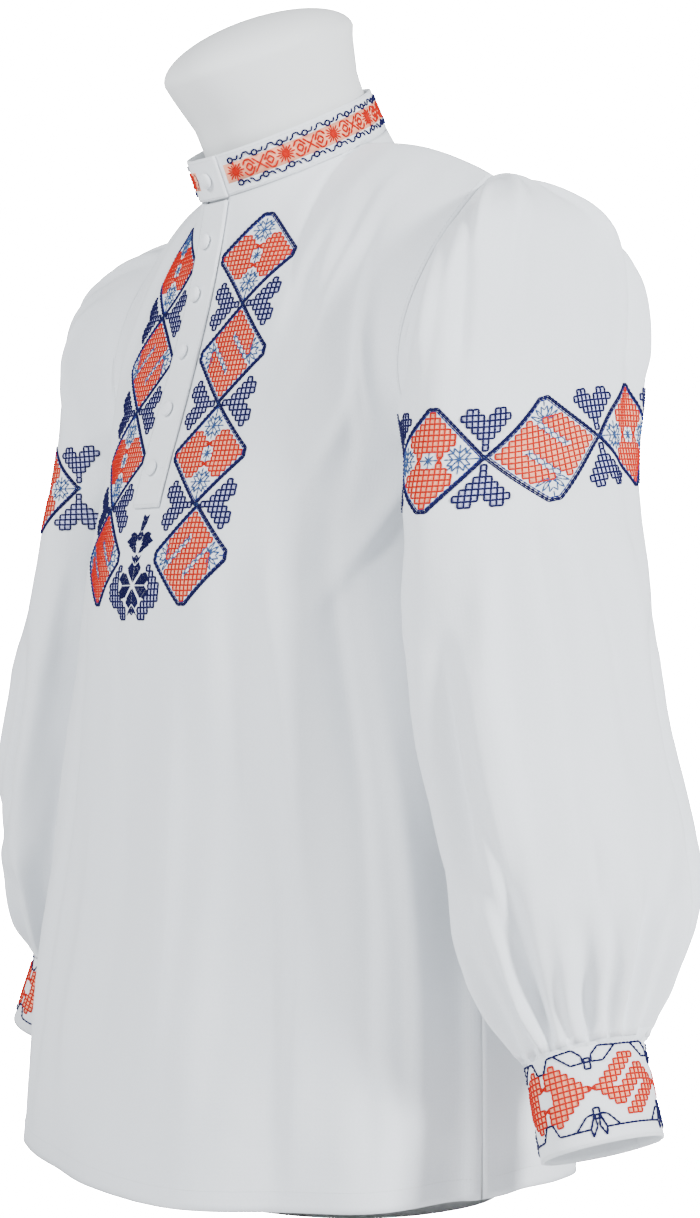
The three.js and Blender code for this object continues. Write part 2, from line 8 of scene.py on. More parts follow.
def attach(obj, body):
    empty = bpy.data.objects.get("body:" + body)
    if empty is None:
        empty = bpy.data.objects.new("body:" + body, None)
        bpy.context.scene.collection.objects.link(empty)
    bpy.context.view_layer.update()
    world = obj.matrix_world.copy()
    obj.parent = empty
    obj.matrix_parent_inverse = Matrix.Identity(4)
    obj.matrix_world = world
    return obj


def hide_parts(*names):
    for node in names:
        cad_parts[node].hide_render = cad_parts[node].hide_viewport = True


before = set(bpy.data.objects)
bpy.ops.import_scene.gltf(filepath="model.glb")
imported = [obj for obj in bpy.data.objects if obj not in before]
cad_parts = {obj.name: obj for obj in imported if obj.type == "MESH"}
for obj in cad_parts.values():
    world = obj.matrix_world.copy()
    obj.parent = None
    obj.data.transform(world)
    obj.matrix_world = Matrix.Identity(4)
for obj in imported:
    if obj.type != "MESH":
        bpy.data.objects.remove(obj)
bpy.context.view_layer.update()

# A folk shirt on a limbless dress form. Sizes below are in millimetres, with heights measured from the
# garment's own zero, STAND above the floor; to_metres() puts them into the row's frame.
MM = 0.001
STAND = 8
CLOTH = 0.7  # one layer of cotton
DOUBLE = 1.9  # collar and cuffs
PLACKET_WALL = 1.8
SEAM_GAP = 0.4
LAY_GAP = 0.4
BAND = 2.2  # the solids' collar, cuff and placket
HEM_SIDE, HEM_FRONT, HEM_BACK, HEM_FOLD = 15, -2, 12, 15
UNDERARM_Z = 505
VENT, VENT_GAP = 55, 0.5
NECK_Y, NECK_Z, NECK_HALF, NECK_DEPTH, NECK_RISE = -2, 722, 64, 68, 32
NECK_POINT, NECK_SHARE = 105, 0.4
COLLAR_HEIGHT, COLLAR_UNDER, COLLAR_OVER = 30, -10, 13
TIP_X, TIP_Y, TIP_Z = 198, 22, 690
SHOULDER_ROUND = 8  # how far the shoulder seam bows upwards
ARM_Z, ARM_HALF, UNDERARM_X = 597.5, 92.5, 172
ARM_FORE, ARM_AFT, EGG_FORE, EGG_AFT = 85, 76, 0.45, 0.3  # the armhole's reach and shape, front and back
PLACKET_SHARE, PLACKET_FOOT, PLACKET_HALF, PLACKET_TOP = 0.047, 474, 14.5, 1.985
BUTTON_HEIGHTS = [659, 621, 580, 539, 497]
CUFF_HEIGHT, CUFF_OUT, CUFF_FORE, CUFF_LAP, CUFF_LEAN, CUFF_START = 63, 33, 42, 26, 0.09, 250
GATHERS, GATHER_DEPTH, HEAD_GATHERS, HEAD_GATHER_DEPTH = 20, 4.2, 14, 1.6
SIDES = (("left", 1), ("right", -1))

BODY_COLUMNS = ("z", "half", "front", "back", "side", "square")
BODY = [
    (0, 238, 165, 159.5, -20, 2.1),
    (90, 230, 159, 156, -13, 2.1),
    (185, 219, 148, 151, -6, 2.12),
    (280, 205, 139, 143, 1, 2.15),
    (350, 191, 139, 137, 7, 2.18),
    (420, 178, 139, 132, 13, 2.2),
    (474, 172, 127, 127, 17, 2.2),
    (505, 171, 118, 124, 20, 2.2),
]
# Broad folds of the body: share of the half, foot height, top height, half width as a share, depth.
FRONT_FOLDS = [
    (-0.66, -40, 430, 0.1, -6),
    (-0.45, -60, 400, 0.12, 6),
    (-0.16, -40, 380, 0.12, -4),
    (0.2, -60, 420, 0.13, 5),
    (0.47, -60, 470, 0.12, -7),
    (0.7, -60, 440, 0.12, 8),
    (0.9, -50, 400, 0.07, -6),
]
BACK_FOLDS = [
    (-0.82, -50, 450, 0.08, -6),
    (-0.58, -60, 520, 0.11, 8),
    (-0.3, -60, 560, 0.11, -8),
    (0.02, -60, 500, 0.14, 7),
    (0.33, -60, 545, 0.1, -7),
    (0.6, -60, 470, 0.11, 8),
    (0.84, -50, 430, 0.08, -6),
]
SLEEVE_COLUMNS = ("down", "x", "z", "tilt", "out", "fore", "y", "square")
SLEEVE = [
    (0, 172, 505, 8, 93, 72, 22, 2.4),
    (0.05, 176, 501, 11.5, 95.5, 79, 25, 2.6),
    (0.1, 178, 498, 16.5, 95, 85, 28, 2.9),
    (0.16, 180, 494, 23, 90, 90, 31, 3),
    (0.23, 182, 488, 30.5, 76, 93, 31, 2.9),
    (0.3, 184, 478, 41, 60, 93, 29, 2.5),
    (0.37, 186, 462, 57, 50, 91, 24, 2.2),
    (0.45, 189, 432, 71, 50, 91, 19, 2.1),
    (0.53, 194, 390, 76.5, 55, 89, 15, 2),
    (0.61, 202, 340, 77, 59, 88, 13, 2),
    (0.69, 212, 287, 77, 61.5, 89, 12, 2),
    (0.77, 225, 230, 77, 63, 90, 11, 2),
    (0.84, 236, 190, 76, 61, 87, 10, 2),
    (0.9, 248, 157, 73, 54, 76, 9, 2),
    (0.96, 262, 128, 70, 44, 60, 7, 2),
    (1, 277.5, 105, 67, 35, 44, 5, 2),
]
# Broad folds of a sleeve: degrees from the top, from and to as shares of the way down, width, depth.
SLEEVE_FOLDS = [
    (128, 0.5, 1.02, 17, -9),
    (95, 0.3, 0.9, 22, 5),
    (62, 0.72, 1.02, 11, -6),
    (33, 0.76, 1.02, 10, -5),
    (-58, 0.5, 1.0, 13, -8),
    (-100, 0.35, 0.95, 20, 5),
    (-140, 0.6, 1.02, 15, -7),
]
FORM_COLUMNS = ("row", "y", "z", "lean", "half", "depth", "square")
FORM = [
    (0, 2, -8, 0, 168, 116, 2.3),
    (1, 2, 120, 0, 172, 119, 2.3),
    (2, 2, 230, 0, 160, 108, 2.2),
    (3, 1, 320, 0, 150, 108, 2.2),
    (4, 0, 420, 0, 158, 117, 2.2),
    (5, 2, 505, 0, 160, 108, 2.2),
    (6, 10, 580, 0, 163, 88, 2.1),
    (7, 16, 630, 0, 165, 75, 1.9),
    (8, 18, 660, 0, 168, 66, 1.75),
    (9, 19, 680, 0, 167, 58, 1.5),
    (10, 20, 693, 2, 160, 50, 1.3),
    (11, 20, 704, 6, 146, 49, 1.15),
    (12, 19, 712, 12, 120, 46, 1.1),
    (13, 10, 716, 17, 91, 47, 1.15),
    (14, 3.5, 720.5, 22, 62.3, 54, 1.8),
    (15, -5, 737, 25, 56, 64, 2),
    (16, -18, 765, 24, 56, 65, 2),
    (17, -30, 789, 23, 60, 73, 2),
    (18, -33, 797, 22, 61.5, 76, 2),
]
FORM_DOME = 27


# ---- Curves and tables ------------------------------------------------------------------------------
def smooth(value, low, high):
    t = np.clip((value - low) / (high - low), 0, 1)
    return t * t * (3 - 2 * t)


def bell(offset, width):
    return np.exp(-((offset / width) ** 2))


def lerp(a, b, t):
    return a + (b - a) * t


def vec(x, y, z):
    return np.stack(np.broadcast_arrays(x, y, z), -1).astype(float)


def unit(v):
    return v / np.maximum(np.linalg.norm(v, axis=-1, keepdims=True), 1e-12)


def table(rows, columns, curved=True):
    """The columns of a table as functions of its first one: cubic pieces, or straight ones."""
    at = np.array([row[0] for row in rows], float)
    values = {name: np.array([row[i] for row in rows], float) for i, name in enumerate(columns)}
    last = len(rows) - 1
    low = np.maximum(np.arange(last + 1) - 1, 0)
    high = np.minimum(np.arange(last + 1) + 1, last)

    def read(name, value):
        v = values[name]
        if not curved:
            return np.interp(value, at, v)
        slope = (v[high] - v[low]) / (at[high] - at[low])
        k = np.clip(np.searchsorted(at, value, side="right") - 1, 0, last - 1)
        span = at[k + 1] - at[k]
        t = (value - at[k]) / span
        a, b = slope[k] * span, slope[k + 1] * span
        rise = v[k + 1] - v[k]
        return v[k] + t * a + t * t * (3 * rise - 2 * a - b) + t**3 * (a + b - 2 * rise)

    return read


body = table(BODY, BODY_COLUMNS)
sleeve_at = table(SLEEVE, SLEEVE_COLUMNS)
form_at = table(FORM, FORM_COLUMNS, curved=False)


def section(angle, half, depth, square):
    s, c = np.sin(np.radians(angle)), np.cos(np.radians(angle))
    power = 2 / square
    return (
        np.sign(s) * half * np.abs(s) ** power,
        np.sign(c) * depth * np.abs(c) ** power,
    )


def side_of(share):
    return np.where(share < 0, -1.0, 1.0)


# ---- The body's surface -----------------------------------------------------------------------------
def neckline(angle):
    s, c = np.sin(np.radians(angle)), np.cos(np.radians(angle))
    return vec(NECK_HALF * s, NECK_Y - NECK_DEPTH * c, NECK_Z - NECK_RISE * c)


def armhole(angle, facing, side):
    s, c = np.sin(np.radians(angle)), np.cos(np.radians(angle))
    low = (1 - c) / 2
    wide = np.where(facing < 0, ARM_FORE, ARM_AFT)
    egg = np.where(facing < 0, EGG_FORE, EGG_AFT)
    reach = wide * (0.02 + 0.98 * low) ** egg
    x = lerp(TIP_X, UNDERARM_X, low)
    return vec(side * x, TIP_Y + facing * reach * s, ARM_Z + ARM_HALF * c)


def body_section(share, z, facing):
    seam = body("side", z)
    reach = body("front" if facing < 0 else "back", z) - facing * seam
    x, y = section(share * 90, body("half", z), reach, body("square", z))
    return vec(x, seam + facing * y, z)


def top_edge(share, facing):
    s, side = np.abs(share), side_of(share)
    span = NECK_POINT if facing < 0 else 180 - NECK_POINT
    angle = np.clip(s / NECK_SHARE, 0, 1) * span
    ring = neckline(side * (angle if facing < 0 else 180 - angle))
    along = np.clip((s - NECK_SHARE) / (1 - NECK_SHARE), 0, 1)[..., None]
    start = neckline(side * NECK_POINT)
    shoulder = lerp(start, vec(side * TIP_X, TIP_Y, TIP_Z), along)
    shoulder[..., 2] += SHOULDER_ROUND * np.sin(np.pi * along[..., 0])
    return np.where((s <= NECK_SHARE)[..., None], ring, shoulder)


# How the upper body leaves the section at the underarm and arrives at its top edge: (y, z) pulls below and
# above in the middle, then below and above at the shoulder, for the front (-1) and the back (1).
PULL = {
    -1: ((61, 185), (28, 185), (60, 300), (175, 50)),
    1: ((-10, 220), (-75, 200), (-12, 380), (-190, 20)),
}


def upper_body(share, t, facing):
    start = body_section(share, np.full(np.shape(share), float(UNDERARM_Z)), facing)
    end = top_edge(share, facing)
    shoulder = smooth(np.abs(share), 0.05, NECK_SHARE + 0.04)
    low_middle, high_middle, low_tip, high_tip = PULL[facing]
    low = vec(0, lerp(low_middle[0], low_tip[0], shoulder), lerp(low_middle[1], low_tip[1], shoulder))
    high = vec(0, lerp(high_middle[0], high_tip[0], shoulder), lerp(high_middle[1], high_tip[1], shoulder))
    t = np.asarray(t, float)[..., None]
    t2, t3 = t * t, t * t * t
    return (
        start * (2 * t3 - 3 * t2 + 1)
        + low * (t3 - 2 * t2 + t)
        + end * (3 * t2 - 2 * t3)
        + high * (t3 - t2)
    )


def hem_at(share, facing):
    middle = HEM_FRONT if facing < 0 else HEM_BACK
    return lerp(middle, HEM_SIDE, (1 - np.cos(np.pi * share)) / 2)


def body_base(share, level, facing):
    """A panel's surface: share is -1 to 1 across it, level 0 at the hem, 1 at the underarm, 2 at the top."""
    share, level = np.broadcast_arrays(np.asarray(share, float), np.asarray(level, float))
    side = side_of(share)
    lower = body_section(share, lerp(hem_at(share, facing), UNDERARM_Z, np.minimum(level, 1)), facing)
    t = np.clip(level - 1, 0, 1)
    upper = upper_body(share, t, facing)
    edge = armhole(180 * (1 - t), facing, side) - upper_body(side, t, facing)
    upper = upper + edge * (np.abs(share) ** 3.2)[..., None]
    p = np.where((level <= 1)[..., None], lower, upper)
    depth = 0
    for at, foot, top, width, deep in FRONT_FOLDS if facing < 0 else BACK_FOLDS:
        along = smooth(p[..., 2], foot, foot + 60) * (1 - smooth(p[..., 2], (foot + top) / 2, top))
        depth = depth + deep * bell(share - at, width) * along
    depth = depth * (1 - smooth(np.abs(share), 0.93, 1))
    out = unit(vec(p[..., 0] / BODY[0][1], facing * 0.9, 0))
    p = p + out * depth[..., None]
    slit = (1 - smooth(p[..., 2], HEM_SIDE, HEM_SIDE + VENT)) * smooth(np.abs(share), 0.9, 1)
    p[..., 1] += facing * (SEAM_GAP / 2 + VENT_GAP * slit)
    return p


def normal_of(place, u, v, turn, du, dv):
    along = place(u + du, v) - place(u - du, v)
    across = place(u, v + dv) - place(u, v - dv)
    return unit(np.cross(along, across)) * turn


def level_of(z):
    return (z - HEM_FRONT) / (UNDERARM_Z - HEM_FRONT)


# ---- Creases ----------------------------------------------------------------------------------------
def crease(x, z, path, width, depth, lean=0.0):
    """A soft ridge (or trough, below zero) along a path of (x, z) points, fading out at both ends.
    lean makes one flank steeper than the other."""
    best = np.full(np.shape(x), 1e9)
    side = np.zeros(np.shape(x))
    along = np.zeros(np.shape(x))
    total = sum(np.hypot(b[0] - a[0], b[1] - a[1]) for a, b in zip(path, path[1:]))
    gone = 0.0
    for a, b in zip(path, path[1:]):
        ax, az = a
        dx, dz = b[0] - ax, b[1] - az
        length = np.hypot(dx, dz)
        t = np.clip(((x - ax) * dx + (z - az) * dz) / length**2, 0, 1)
        off = np.hypot(x - ax - t * dx, z - az - t * dz)
        signed = ((x - ax) * dz - (z - az) * dx) / length
        near = off < best
        best = np.where(near, off, best)
        side = np.where(near, signed, side)
        along = np.where(near, (gone + t * length) / total, along)
        gone += length
    fade = np.sin(np.pi * np.clip(along * 0.96 + 0.02, 0, 1)) ** 0.7
    flank = width * (1 + lean * np.tanh(side / width))
    return depth * fade * np.exp(-((best / flank) ** 2))


def ruffle(points, scale, seed):
    """Small uneven swells, from -1 to 1, at points in millimetres."""
    shift = Vector((seed * 17.3, seed * 5.1, seed * 9.7))
    swells = [noise.noise(Vector(p) / scale + shift) for p in points.reshape(-1, 3)]
    return np.array(swells).reshape(points.shape[:-1])


HALF_GIRTH = 300  # of a panel, from its middle to its side seam, for placing creases by the millimetre
BODY_CREASING = 2.3  # times the depths below
BODY_SWELL, BODY_SWELL_SIZE, BODY_SWELL_RUN = 2.8, 46, (1, 1, 0.45)  # uneven swells, longer up and down
BODY_CRUMPLE, BODY_CRUMPLE_SIZE = 0.35, 17
FRONT_CALM, SEWN_FOOT, SEWN_HALF = 0.65, (400, 450), (92, 120)  # the stiffer embroidered stretch
# Creases: a path of (millimetres from the panel's middle, height), half width, depth, and lean.
FRONT_CREASES = [
    ([(-168, 30), (-160, 190), (-150, 330), (-140, 420)], 13, 2.6, 0.3),
    ([(-120, 5), (-112, 150), (-104, 300), (-98, 400)], 12, -2.2, -0.3),
    ([(-60, 20), (-52, 150), (-50, 280)], 15, 2.0, 0.2),
    ([(-15, 40), (-8, 180), (-12, 330), (-22, 440)], 14, -1.6, 0.3),
    ([(38, 10), (44, 170), (40, 300), (36, 405)], 14, 2.4, -0.3),
    ([(92, 60), (98, 210), (100, 360), (96, 450)], 16, -2.4, 0.3),
    ([(150, 0), (152, 150), (146, 300), (138, 440)], 14, 2.8, 0.35),
    ([(205, 30), (204, 190), (192, 340), (180, 470)], 12, -3.0, -0.3),
    ([(246, 20), (240, 170), (226, 320)], 9, 2.2, 0.3),
    ([(118, 520), (160, 585), (196, 650), (214, 695)], 12, 2.0, 0.4),
    ([(88, 560), (130, 640), (176, 705)], 15, 1.4, -0.3),
    ([(-118, 520), (-160, 585), (-196, 650), (-214, 695)], 12, 2.0, 0.4),
    ([(150, 480), (196, 540), (232, 600)], 9, 2.4, 0.3),
    ([(-150, 480), (-196, 540), (-232, 600)], 9, 2.4, -0.3),
    ([(170, 400), (220, 450), (262, 500)], 10, 2.6, -0.3),
    ([(-170, 400), (-220, 450), (-262, 500)], 10, 2.4, 0.3),
    ([(216, 668), (200, 610), (190, 548), (188, 470)], 13, -2.2, 0.4),
    ([(178, 690), (160, 630), (150, 575)], 14, 1.6, -0.3),
    ([(232, 640), (222, 580), (214, 520)], 9, 1.8, -0.4),
    ([(-214, 664), (-196, 606), (-186, 540), (-182, 470)], 13, -2.2, -0.4),
    ([(-172, 690), (-158, 632), (-146, 570)], 14, 1.6, 0.3),
    ([(132, 452), (134, 380), (138, 300), (146, 206)], 17, 2.0, -0.3),
    ([(196, 440), (208, 330), (220, 200)], 15, -1.6, 0.4),
]
BACK_CREASES = [
    ([(-236, 20), (-228, 180), (-210, 340)], 10, 2.6, 0.3),
    ([(-176, 0), (-172, 170), (-160, 350), (-140, 500)], 14, -3.0, -0.3),
    ([(-120, 40), (-114, 220), (-108, 400), (-110, 560)], 13, 2.6, 0.4),
    ([(-64, 0), (-58, 190), (-60, 380), (-66, 540)], 14, -2.6, 0.2),
    ([(-12, 30), (-8, 220), (-4, 430), (-2, 600)], 13, 2.2, -0.3),
    ([(46, 0), (44, 200), (50, 400), (58, 570)], 13, -2.8, 0.3),
    ([(102, 30), (104, 230), (100, 420), (96, 560)], 13, 2.8, 0.3),
    ([(160, 0), (158, 180), (150, 360), (134, 500)], 13, -2.6, -0.3),
    ([(222, 30), (218, 200), (202, 360)], 10, 2.6, 0.3),
    ([(130, 500), (176, 560), (214, 640)], 11, 2.4, 0.3),
    ([(-130, 500), (-176, 560), (-214, 640)], 11, 2.4, -0.3),
    ([(60, 620), (120, 660), (180, 672)], 14, 1.6, 0.2),
    ([(-60, 620), (-120, 660), (-180, 672)], 14, 1.6, -0.2),
    ([(165, 395), (215, 450), (262, 500)], 10, 2.6, -0.3),
    ([(-165, 395), (-215, 450), (-262, 500)], 10, 2.6, 0.3),
]


def body_relief(share, level, p, facing):
    """Depth of the small creases over the body's base surface, outward."""
    x = share * HALF_GIRTH
    z = p[..., 2]
    relief = 0
    for path, width, depth, lean in FRONT_CREASES if facing < 0 else BACK_CREASES:
        relief = relief + crease(x, z, path, width, depth * BODY_CREASING, lean)
    relief = relief + ruffle(p * np.array(BODY_SWELL_RUN), BODY_SWELL_SIZE, 3 + facing) * BODY_SWELL
    relief = relief + ruffle(p, BODY_CRUMPLE_SIZE, 7 + facing) * BODY_CRUMPLE
    edge = (1 - smooth(np.abs(share), 0.94, 1)) * (1 - smooth(level, 1.9, 2))
    middle = smooth(np.abs(share), 0.05, 0.14) if facing < 0 else 1.0
    middle = np.where(z < PLACKET_FOOT - 60, 1.0, np.maximum(middle, smooth(PLACKET_FOOT - z, 0, 60)))
    calm = 1.0
    if facing < 0:
        calm = 1 - FRONT_CALM * smooth(z, *SEWN_FOOT) * (1 - smooth(np.abs(x), *SEWN_HALF))
    return relief * edge * middle * calm


HEM_THICKER = 0.5


def hem_step(z, hem):
    """The turned-up hem stands out by a little, up to its line of stitches."""
    return HEM_THICKER * (1 - smooth(z - hem, HEM_FOLD - 1.2, HEM_FOLD + 0.6))


def body_point(share, level, facing):
    share, level = np.broadcast_arrays(np.asarray(share, float), np.asarray(level, float))
    p = body_base(share, level, facing)
    s = np.clip(share, -0.995, 0.995)
    lv = np.clip(level, 0.003, 1.985)
    lv = np.where(np.abs(lv - 1) < 0.004, 1.005, lv)
    n = normal_of(lambda a, b: body_base(a, b, facing), s, lv, -facing, 2e-3, 2e-3)
    lift = body_relief(share, level, p, facing)
    lift = lift + hem_step(p[..., 2], hem_at(share, facing)) * (1 - smooth(np.abs(share), 0.98, 1))
    return p + n * lift[..., None]


# ---- The sleeves' surface ---------------------------------------------------------------------------
SLEEVE_CREASING, GATHERS_RUN_ON = 2.5, 1.7  # times the depths below
SLEEVE_SWELL, SLEEVE_SWELL_SIZE, SLEEVE_SWELL_RUN = 3.2, 40, (1, 1, 0.6)
SLEEVE_CRUMPLE, SLEEVE_CRUMPLE_SIZE = 0.5, 15
SLEEVE_CALM, CALM_FOOT, CALM_TOP = 0.68, (440, 462), (552, 574)  # the stiffer embroidered band
DEGREE_REACH = 290  # the way down counts as so many degrees round, to keep creases round
# Small creases of a sleeve: paths of (degrees from the top towards the front, share of the way down).
SLEEVE_CREASES = [
    ([(8, 0.02), (12, 0.12), (20, 0.26)], 5, 2.2, 0.3),
    ([(-14, 0.02), (-22, 0.14), (-26, 0.3)], 6, 2.4, -0.3),
    ([(30, 0.02), (34, 0.1), (42, 0.2)], 5, 2.0, 0.2),
    ([(58, 0.03), (70, 0.12), (86, 0.24), (96, 0.36)], 8, 2.4, 0.3),
    ([(120, 0.05), (112, 0.16), (100, 0.3)], 7, 2.6, 0.3),
    ([(150, 0.1), (136, 0.24), (118, 0.38)], 8, 3.0, -0.3),
    ([(-60, 0.06), (-66, 0.18), (-58, 0.34), (-50, 0.46)], 8, 1.5, 0.3),
    ([(-36, 0.1), (-40, 0.26), (-34, 0.42)], 8, -2.0, -0.3),
    ([(-96, 0.08), (-104, 0.22), (-100, 0.4)], 9, 2.6, 0.3),
    ([(-140, 0.1), (-128, 0.26), (-112, 0.42)], 8, 2.8, -0.3),
    ([(20, 0.42), (26, 0.56), (24, 0.7)], 8, 2.4, 0.3),
    ([(-8, 0.46), (-14, 0.6), (-10, 0.76)], 8, -2.4, -0.3),
    ([(48, 0.5), (56, 0.62), (52, 0.78)], 7, 2.6, 0.3),
    ([(80, 0.56), (86, 0.7), (82, 0.84)], 8, -2.6, 0.2),
    ([(112, 0.46), (108, 0.6), (104, 0.78)], 8, 2.8, -0.3),
    ([(146, 0.5), (150, 0.66), (144, 0.84)], 8, 2.6, 0.3),
    ([(176, 0.4), (170, 0.58), (174, 0.8)], 10, -2.4, 0.2),
    ([(-70, 0.55), (-78, 0.7), (-72, 0.86)], 8, 2.8, 0.3),
    ([(-118, 0.5), (-124, 0.66), (-118, 0.84)], 8, -2.6, -0.3),
    ([(-160, 0.5), (-156, 0.66), (-160, 0.84)], 9, 2.4, 0.3),
    ([(84, 0.6), (80, 0.74), (72, 0.86), (66, 0.97)], 7, -3.2, 0.4),
    ([(66, 0.58), (62, 0.72), (54, 0.86), (46, 0.96)], 7, 2.8, -0.4),
    ([(28, 0.7), (24, 0.82), (17, 0.95)], 7, 2.2, 0.4),
    ([(-34, 0.68), (-24, 0.8), (-4, 0.92)], 7, -2.4, 0.4),
    ([(40, 0.1), (46, 0.22), (58, 0.36)], 7, -2.2, 0.3),
    ([(-30, 0.28), (-26, 0.4), (-30, 0.52)], 7, 1.8, 0.3),
]
# Gathers that run on up the sleeve: degrees, how far up they start, half width in degrees, depth.
LONG_GATHERS = [
    (4, 0.74, 5, 3.2), (21, 0.7, 5, -3.0), (40, 0.79, 5, 3.4), (57, 0.68, 6, -3.6), (75, 0.75, 5, 3.6),
    (92, 0.7, 5, -3.2), (108, 0.78, 5, 3.2), (127, 0.66, 6, -3.8), (145, 0.73, 5, 3.4),
    (163, 0.79, 5, -3.0), (-13, 0.77, 5, -3.2), (-31, 0.7, 6, 3.6), (-50, 0.76, 5, -3.6),
    (-68, 0.68, 5, 3.2), (-86, 0.74, 6, -3.8), (-104, 0.79, 5, 3.4), (-121, 0.69, 5, -3.0),
    (-139, 0.75, 6, 3.6), (-158, 0.71, 5, -3.2), (178, 0.7, 5, 3.0),
]


def turn_of(angle):
    return (angle + 180) % 360 - 180


def sleeve_base(angle, down, side, ripple=1.0):
    angle, down = np.broadcast_arrays(np.asarray(angle, float), np.asarray(down, float))
    turn = turn_of(angle)
    first = armhole(np.abs(turn), np.where(turn < 0, 1.0, -1.0), 1)
    tilt = np.radians(sleeve_at("tilt", down))
    more = 0
    for at, start, stop, width, depth in SLEEVE_FOLDS:
        along = smooth(down, start, start + 0.12) * (1 - smooth(down, stop - 0.06, stop))
        more = more + depth * bell(turn_of(turn - at), width) * along
    gathering = smooth(down, 0.78, 0.95) * (1 - 0.45 * smooth(down, 0.96, 1))
    more = more + np.cos(np.radians(angle * GATHERS)) * GATHER_DEPTH * gathering
    head = bell(down - 0.06, 0.06) * smooth(np.cos(np.radians(angle)), -0.2, 0.6)
    more = more + np.cos(np.radians(angle * HEAD_GATHERS)) * HEAD_GATHER_DEPTH * head
    more = more * ripple
    out, fore = sleeve_at("out", down), sleeve_at("fore", down)
    across, along = section(turn, fore + more, out + more, sleeve_at("square", down))
    away = out + along
    ring = vec(
        sleeve_at("x", down) + np.sin(tilt) * away,
        sleeve_at("y", down) + lerp(first[..., 1] - TIP_Y, -across, smooth(down, 0, 0.2)),
        sleeve_at("z", down) + np.cos(tilt) * away,
    )
    p = lerp(first, ring, smooth(down, 0, 0.05)[..., None])
    p[..., 0] = side * (p[..., 0] + SEAM_GAP)
    return p


def sleeve_point(angle, down, side):
    angle, down = np.broadcast_arrays(np.asarray(angle, float), np.asarray(down, float))
    turn = turn_of(angle)
    p = sleeve_base(turn + 2.0 * np.sin(np.radians(turn * 3)) * smooth(down, 0.8, 0.98), down, side)
    d = np.clip(down, 0.02, 0.985)
    n = normal_of(lambda a, b: sleeve_base(a, b, side, 0), turn, d, side, 2, 0.01)
    relief = 0
    for path, width, depth, lean in SLEEVE_CREASES:
        first = path[0][0]
        wound = [(first + turn_of(a - first), share * DEGREE_REACH) for a, share in path]
        middle = wound[len(wound) // 2][0]
        x = middle + turn_of(turn - middle)
        relief = relief + crease(x, down * DEGREE_REACH, wound, width, depth * SLEEVE_CREASING, lean)
    for at, start, width, depth in LONG_GATHERS:
        sway = 4 * np.sin((down - start) * 9 + at)
        near = bell(turn_of(turn - at - sway * (1 - down)), width * (1.6 - 0.7 * smooth(down, start, 1)))
        run = smooth(down, start, start + 0.13) * (1 - 0.7 * smooth(down, 0.95, 1))
        relief = relief + GATHERS_RUN_ON * depth * near * run
    swell = ruffle(p * np.array(SLEEVE_SWELL_RUN), SLEEVE_SWELL_SIZE, 11 + side) * SLEEVE_SWELL
    crumple = ruffle(p, SLEEVE_CRUMPLE_SIZE, 15 + side) * SLEEVE_CRUMPLE
    relief = relief + swell * smooth(down, 0.03, 0.15) + crumple * smooth(down, 0.02, 0.1)
    relief = relief * smooth(down, 0.0, 0.03) * (1 - smooth(down, 0.985, 1))
    calm = SLEEVE_CALM * smooth(p[..., 2], *CALM_FOOT) * (1 - smooth(p[..., 2], *CALM_TOP))
    relief = relief * (1 - calm)
    return p + n * relief[..., None]


# ---- Collar and cuffs -------------------------------------------------------------------------------
NECK_LEAN = np.arctan2(NECK_RISE, NECK_DEPTH)
NECK_AXIS = np.array([0, -np.sin(NECK_LEAN), np.cos(NECK_LEAN)])


def collar_point(angle, height):
    base = neckline(angle)
    outward = unit(base - np.array([0, NECK_Y, NECK_Z]))
    lap = (BAND + LAY_GAP) * smooth(angle, 300, 342)
    reach = lap - 1.5 * (height / COLLAR_HEIGHT)
    return base + outward * reach[..., None] + NECK_AXIS * (1.5 * SEAM_GAP + height)[..., None]


def cuff_point(angle, drop, side):
    last = dict(zip(SLEEVE_COLUMNS, SLEEVE[-1]))
    tilt = np.radians(last["tilt"])
    up = np.array([np.sin(tilt), 0, np.cos(tilt)])
    down = np.array([np.cos(tilt), -CUFF_LEAN, -np.sin(tilt)])
    centre = np.array([last["x"], last["y"], last["z"]]) + up * last["out"]
    lap = (BAND + LAY_GAP) * smooth(angle, CUFF_START + 290, CUFF_START + 345)
    grow = lap + drop / CUFF_HEIGHT
    s, c = np.sin(np.radians(angle)), np.cos(np.radians(angle))
    p = centre + up * ((CUFF_OUT + grow) * c)[..., None] + down * (SEAM_GAP + drop)[..., None]
    p[..., 1] -= (CUFF_FORE + grow) * s
    p[..., 0] = side * (p[..., 0] + SEAM_GAP)
    return p


# ---- Materials --------------------------------------------------------------------------------------
def new_material(name, rough, sheen=0.0):
    material = bpy.data.materials.new(name)
    material.use_nodes = True
    nodes, links = material.node_tree.nodes, material.node_tree.links
    shader = nodes["Principled BSDF"]
    shader.inputs["Roughness"].default_value = rough
    shader.inputs["Specular IOR Level"].default_value = 0.25
    if sheen:
        shader.inputs["Sheen Weight"].default_value = sheen
        shader.inputs["Sheen Roughness"].default_value = 0.5
    return material, nodes, links, shader


def noise_over(nodes, links, scale, detail):
    """Uneven noise over a piece's own place."""
    at = nodes.new("ShaderNodeTexCoord")
    cloud = nodes.new("ShaderNodeTexNoise")
    cloud.inputs["Scale"].default_value = scale
    cloud.inputs["Detail"].default_value = detail
    links.new(at.outputs["Object"], cloud.inputs["Vector"])
    return cloud.outputs["Fac"]


def two_tones(nodes, links, shader, share, dark, light):
    """The base colour runs from dark to light as share does from 0 to 1."""
    tone = nodes.new("ShaderNodeMix")
    tone.data_type = "RGBA"
    tone.inputs["A"].default_value = (*dark, 1)
    tone.inputs["B"].default_value = (*light, 1)
    links.new(share, tone.inputs["Factor"])
    links.new(tone.outputs["Result"], shader.inputs["Base Color"])


